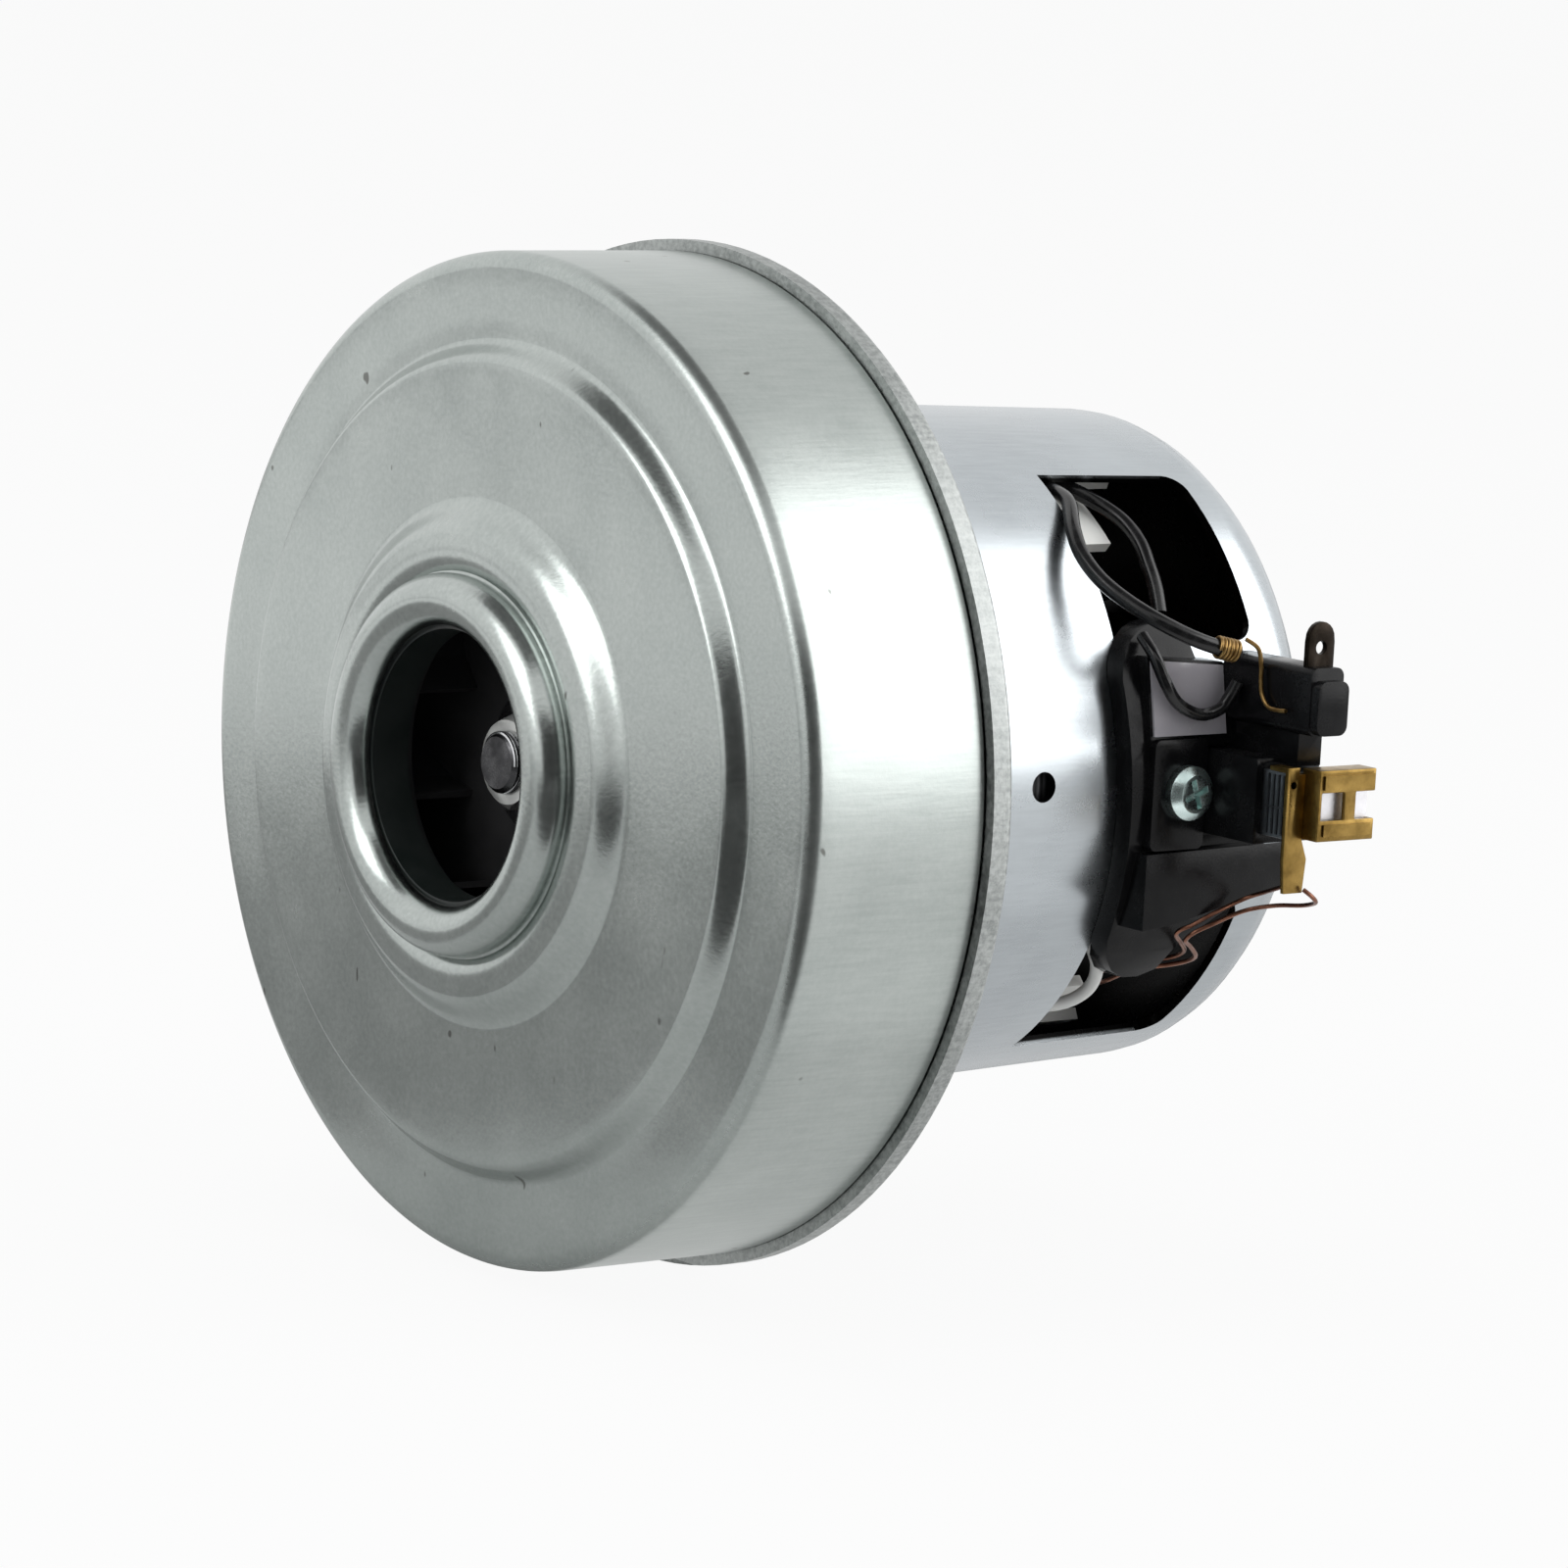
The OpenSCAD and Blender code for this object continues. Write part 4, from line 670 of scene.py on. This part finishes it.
TUBE_FRONT, RIB_PITCH = 66.0, 0.95
tie_tree = tie_turns_tree(tie_metal)
tie_wire = wire_tree(tie_metal)
tie_route = [
    (54.6, 65.4, 20.6), (55.3, 67, 19.4), (55.7, 67.35, 17.2), (55.9, 67.3, 15.2), (56.3, 67.3, 13.4),
    (57.6, 67.3, 12.1), (59.4, 67.3, 11.9), (61, 67.3, 12),
]
plate_outline = [(55.6, 7.4), (67.9, 7.4), (67.9, 16.2), (55.6, 17.2)]
for side in "ab":
    rounded(f"holder_{side}_moulding", f"brush_holder_{side}", 0.3, gloss_black)
    rounded(f"clip_{side}_stamping", f"brush_clip_{side}", 0.16, brass)
    rounded(f"strip_{side}_stamping", f"brush_strip_{side}", 0.14, brass)
    rounded(f"tab_{side}_stamping", f"lead_tab_{side}", 0.12, tab_tin)
    rounded(f"tube_{side}_folded", f"brush_tube_{side}", 0.14, tube_tin)
    ribs = [
        ((60 + RIB_PITCH * n, TUBE_FRONT - 0.16, -3.9), (60.4 + RIB_PITCH * n, TUBE_FRONT + 0.1, 3.9))
        for n in range(4)
    ]
    ribs.append(((59.4, TUBE_FRONT - 0.2, -0.5), (63.5, TUBE_FRONT + 0.1, -0.2)))
    blocks(f"tube_{side}_ribs", ribs, 0.05, tube_tin, side)
    liner = [((65.5, 69.3, -1.9), (65.75, 78.2, 2.3))]
    blocks(f"clip_{side}_liner", liner, 0.06, liner_tin, side)
    bars = [((66.5, 69.0, 2.1), (67.35, 78.2, 4.6)), ((66.5, 69.2, -4.0), (67.3, 77.9, -1.8))]
    blocks(f"clip_{side}_bars", bars, 0.32, brass, side)
    # Grey sheet over the holder's flat face: a painted reflection of the lamp.
    sloped_plate(
        f"holder_{side}_panel", plate_outline, 49.02, 47.05, 6.0, 17.7, 0.35, plate_painted_reflection, side,
    )
    turns = on_side([field_route[9], field_route[10]], side)
    wrap = grown(
        f"tie_{side}_turns", tie_tree, tie_metal, "housing", "tie_brown", turns,
        radius=0.24 * MM, reach=1.32 * MM, turns=5.5, length=3.0 * MM,
    )
    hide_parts("lead_ties")
    tail = grown(
        f"tie_{side}_tail", tie_wire, tie_metal, "housing", "tie_brown", on_side(tie_route, side),
        radius=0.3 * MM, sides=10, spacing=0.3 * MM,
    )
    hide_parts("lead_ties")
rounded("holder_screw_heads", "holder_screws", 0.25, screw_zinc)
smoothly_turned("yoke_drawn", "yoke", zinc_yoke)
rounded("nut_forged", "wheel_nut", 0.3, nut_zinc, body="rotor")


# Shaft thread

thread_tree = coil_tree("thread", ground_steel, 8)


def threaded_end():
    """Raised turns on the front end of the shaft, from its tip to the nut."""
    tip, root, pitch, turns, half_ridge = -13.75, 3.82, 1.0, 3.0, 0.3
    ridge = grown(
        "shaft_thread", thread_tree, ground_steel, "rotor", "bearing_steel",
        turns=turns, pitch=pitch * MM, radius=root * MM, section=half_ridge * MM, steps=64,
    )
    along_shaft = Matrix.Rotation(math.radians(-90), 4, "X")
    ridge.data.transform(Matrix.Translation((0, (tip + half_ridge) * MM, 0)) @ along_shaft)


threaded_end()


# Brush springs


def sliding_springs():
    """Each spring is a copy of its CAD coil in spring wire, which stands for that coil."""
    for side, sign in (("a", 1), ("b", -1)):
        node = "brush_spring_" + side
        coil = dressed(f"spring_{side}_coil", nodes[node].data.copy(), spring_wire, "housing")
        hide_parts(node)
        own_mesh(coil)


sliding_springs()


# Stage, light and camera


def flat_piece(name, corners, material):
    """A flat four-cornered piece of the studio, in metres."""
    mesh = bpy.data.meshes.new(name)
    mesh.from_pydata(corners, [], [(0, 1, 2, 3)])
    mesh.materials.append(material)
    piece = bpy.data.objects.new(name, mesh)
    scene.collection.objects.link(piece)
    return piece


def level_square(half, z):
    """The corners of a level square over the motor's middle, in metres."""
    return [(-half, -half, z), (half, -half, z), (half, half, z), (-half, half, z)]


def studio_floor():
    """Pale floor that turns white to the camera and, in part, in reflections, and keeps its shadow."""
    f = Finish("studio_floor", Roughness=0.9, Specular_IOR_Level=0.0)
    f.colour(f.blend(f.remap(f.noise(900, 2), 0.3, 0.7), (0.5, 0.5, 0.495), (0.54, 0.54, 0.54)))
    path = f.add("ShaderNodeLightPath")
    glow = f.add("ShaderNodeEmission", {"Color": (1, 1, 1, 1), "Strength": 1.0})
    mirrored = f.math("MAXIMUM", path.outputs["Is Glossy Ray"], path.outputs["Is Transmission Ray"])
    share = f.math("MULTIPLY", path.outputs["Is Camera Ray"], FLOOR_SEEN_WHITE)
    share = f.math("ADD", share, f.math("MULTIPLY", mirrored, FLOOR_MIRRORED_WHITE))
    mixed = f.add("ShaderNodeMixShader", {0: share, 1: f.shader.outputs[0], 2: glow.outputs[0]})
    f.tree.links.new(mixed.outputs[0], f.tree.nodes["Material Output"].inputs["Surface"])
    return f.material


def studio_world():
    """White to the camera and in reflections, and a soft even level for the rest."""
    world = bpy.data.worlds.new("studio")
    world.use_nodes = True
    tree = world.node_tree
    tree.nodes.clear()
    soft = new_node(tree, "ShaderNodeBackground", {"Color": (0.97, 0.99, 1.0, 1), "Strength": SOFT_LEVEL})
    white = new_node(tree, "ShaderNodeBackground", {"Color": (1, 1, 1, 1), "Strength": 1.0})
    path = new_node(tree, "ShaderNodeLightPath").outputs
    seen = path["Is Camera Ray"]
    for kind in ("Is Glossy Ray", "Is Transmission Ray"):
        seen = new_node(tree, "ShaderNodeMath", {0: seen, 1: path[kind]}, operation="MAXIMUM").outputs[0]
    mixed = new_node(tree, "ShaderNodeMixShader", {0: seen, 1: soft.outputs[0], 2: white.outputs[0]})
    new_node(tree, "ShaderNodeOutputWorld", {"Surface": mixed.outputs[0]})
    return world


FLOOR_SEEN_WHITE, FLOOR_MIRRORED_WHITE, SOFT_LEVEL = 0.93, 0.08, 0.62
FLOOR_Z = -67.6 * MM
FLOOR_HALF = 30.0
floor = flat_piece("floor", level_square(FLOOR_HALF, FLOOR_Z), studio_floor())
scene.world = studio_world()


def softbox(name, azimuth, elevation, distance, size, radiance, mirrored=True):
    """A square lamp of a given brightness that looks at the motor; azimuth 0 is +X and 90 is +Y."""
    data = bpy.data.lights.new(name, "AREA")
    data.shape = "SQUARE"
    data.size = size
    data.energy = radiance * math.pi * size * size
    lamp = bpy.data.objects.new(name, data)
    lamp.visible_glossy = mirrored
    a, e = math.radians(azimuth), math.radians(elevation)
    aim = Vector((0, 0.03, 0))
    away = Vector((math.cos(a) * math.cos(e), math.sin(a) * math.cos(e), math.sin(e)))
    lamp.location = aim + away * distance
    lamp.rotation_euler = (-away).to_track_quat("-Z", "Y").to_euler()
    scene.collection.objects.link(lamp)


softbox("right_box", 50, 24, 1.2, 1.15, 2.3)
softbox("front_box", -90, 33, 1.2, 0.72, 2.3)
softbox("top_box", 200, 78, 1.2, 0.7, 2.8, mirrored=False)


def card(name, corners, tone):
    """A card that only shows in reflections: it casts no shadow and takes no light from the motor."""
    paint = bpy.data.materials.new(name)
    paint.use_nodes = True
    tree = paint.node_tree
    tree.nodes.clear()
    glow = new_node(tree, "ShaderNodeEmission", {"Color": (tone, tone, tone, 1)})
    new_node(tree, "ShaderNodeOutputMaterial", {"Surface": glow.outputs[0]})
    made = flat_piece(name, corners, paint)
    made.visible_camera = made.visible_diffuse = made.visible_shadow = made.visible_transmission = False


def table_card(name, corners, tone):
    """A card that lies just above the floor."""
    card(name, [(x, y, TABLE_CARD_Z) for x, y in corners], tone)


TABLE_CARD_Z = -66.5 * MM
card("side_card", [(0.7, -0.95, -0.06), (0.98, 0.5, -0.06), (0.98, 0.5, 0.55), (0.7, -0.95, 0.6)], 0.05)
table_card("table_card_right", [(0.1, -0.5), (0.1, -0.02), (0.72, 0.22), (0.72, -0.9)], 0.09)
table_card("table_card_back", [(0.09, 0.0), (0.05, 0.5), (0.6, 0.9), (0.72, 0.24)], 0.95)
table_card("table_card_under", [(-0.03, -0.01), (-0.03, 0.3), (0.065, 0.3), (0.09, -0.01)], 0.75)
table_card("table_card_left", [(-0.5, 0.1), (-0.06, -0.05), (0.08, -0.4), (-0.2, -0.6)], 0.36)
table_card("table_card_far", [(-3, 0.6), (-0.5, 0.1), (-0.2, -0.6), (-1.2, -3)], 1.05)
card("ceiling_card", level_square(0.5, 0.95), 0.16)


def photo_camera():
    """The camera fitted to the photograph's circles."""
    azimuth, elevation, roll = (math.radians(a) for a in (51.9682, 8.3087, 3.0870))
    level_part = math.cos(elevation)
    back = Vector((math.sin(azimuth) * level_part, -math.cos(azimuth) * level_part, math.sin(elevation)))
    level = (-back).cross(Vector((0, 0, 1))).normalized()
    up = level.cross(-back)
    right = level * math.cos(roll) + up * math.sin(roll)
    top = up * math.cos(roll) - level * math.sin(roll)
    data = bpy.data.cameras.new("camera")
    data.sensor_width = 36
    data.lens = 36 * 7166.71 / 1600
    data.clip_start = 0.05
    data.clip_end = 60
    camera = bpy.data.objects.new("camera", data)
    axes = Matrix((right, top, back)).transposed().to_4x4()
    camera.matrix_world = Matrix.Translation(Vector((729.991, -537.472, 130.352)) * MM) @ axes
    scene.collection.objects.link(camera)
    scene.camera = camera


photo_camera()
scene.view_settings.view_transform = "Standard"
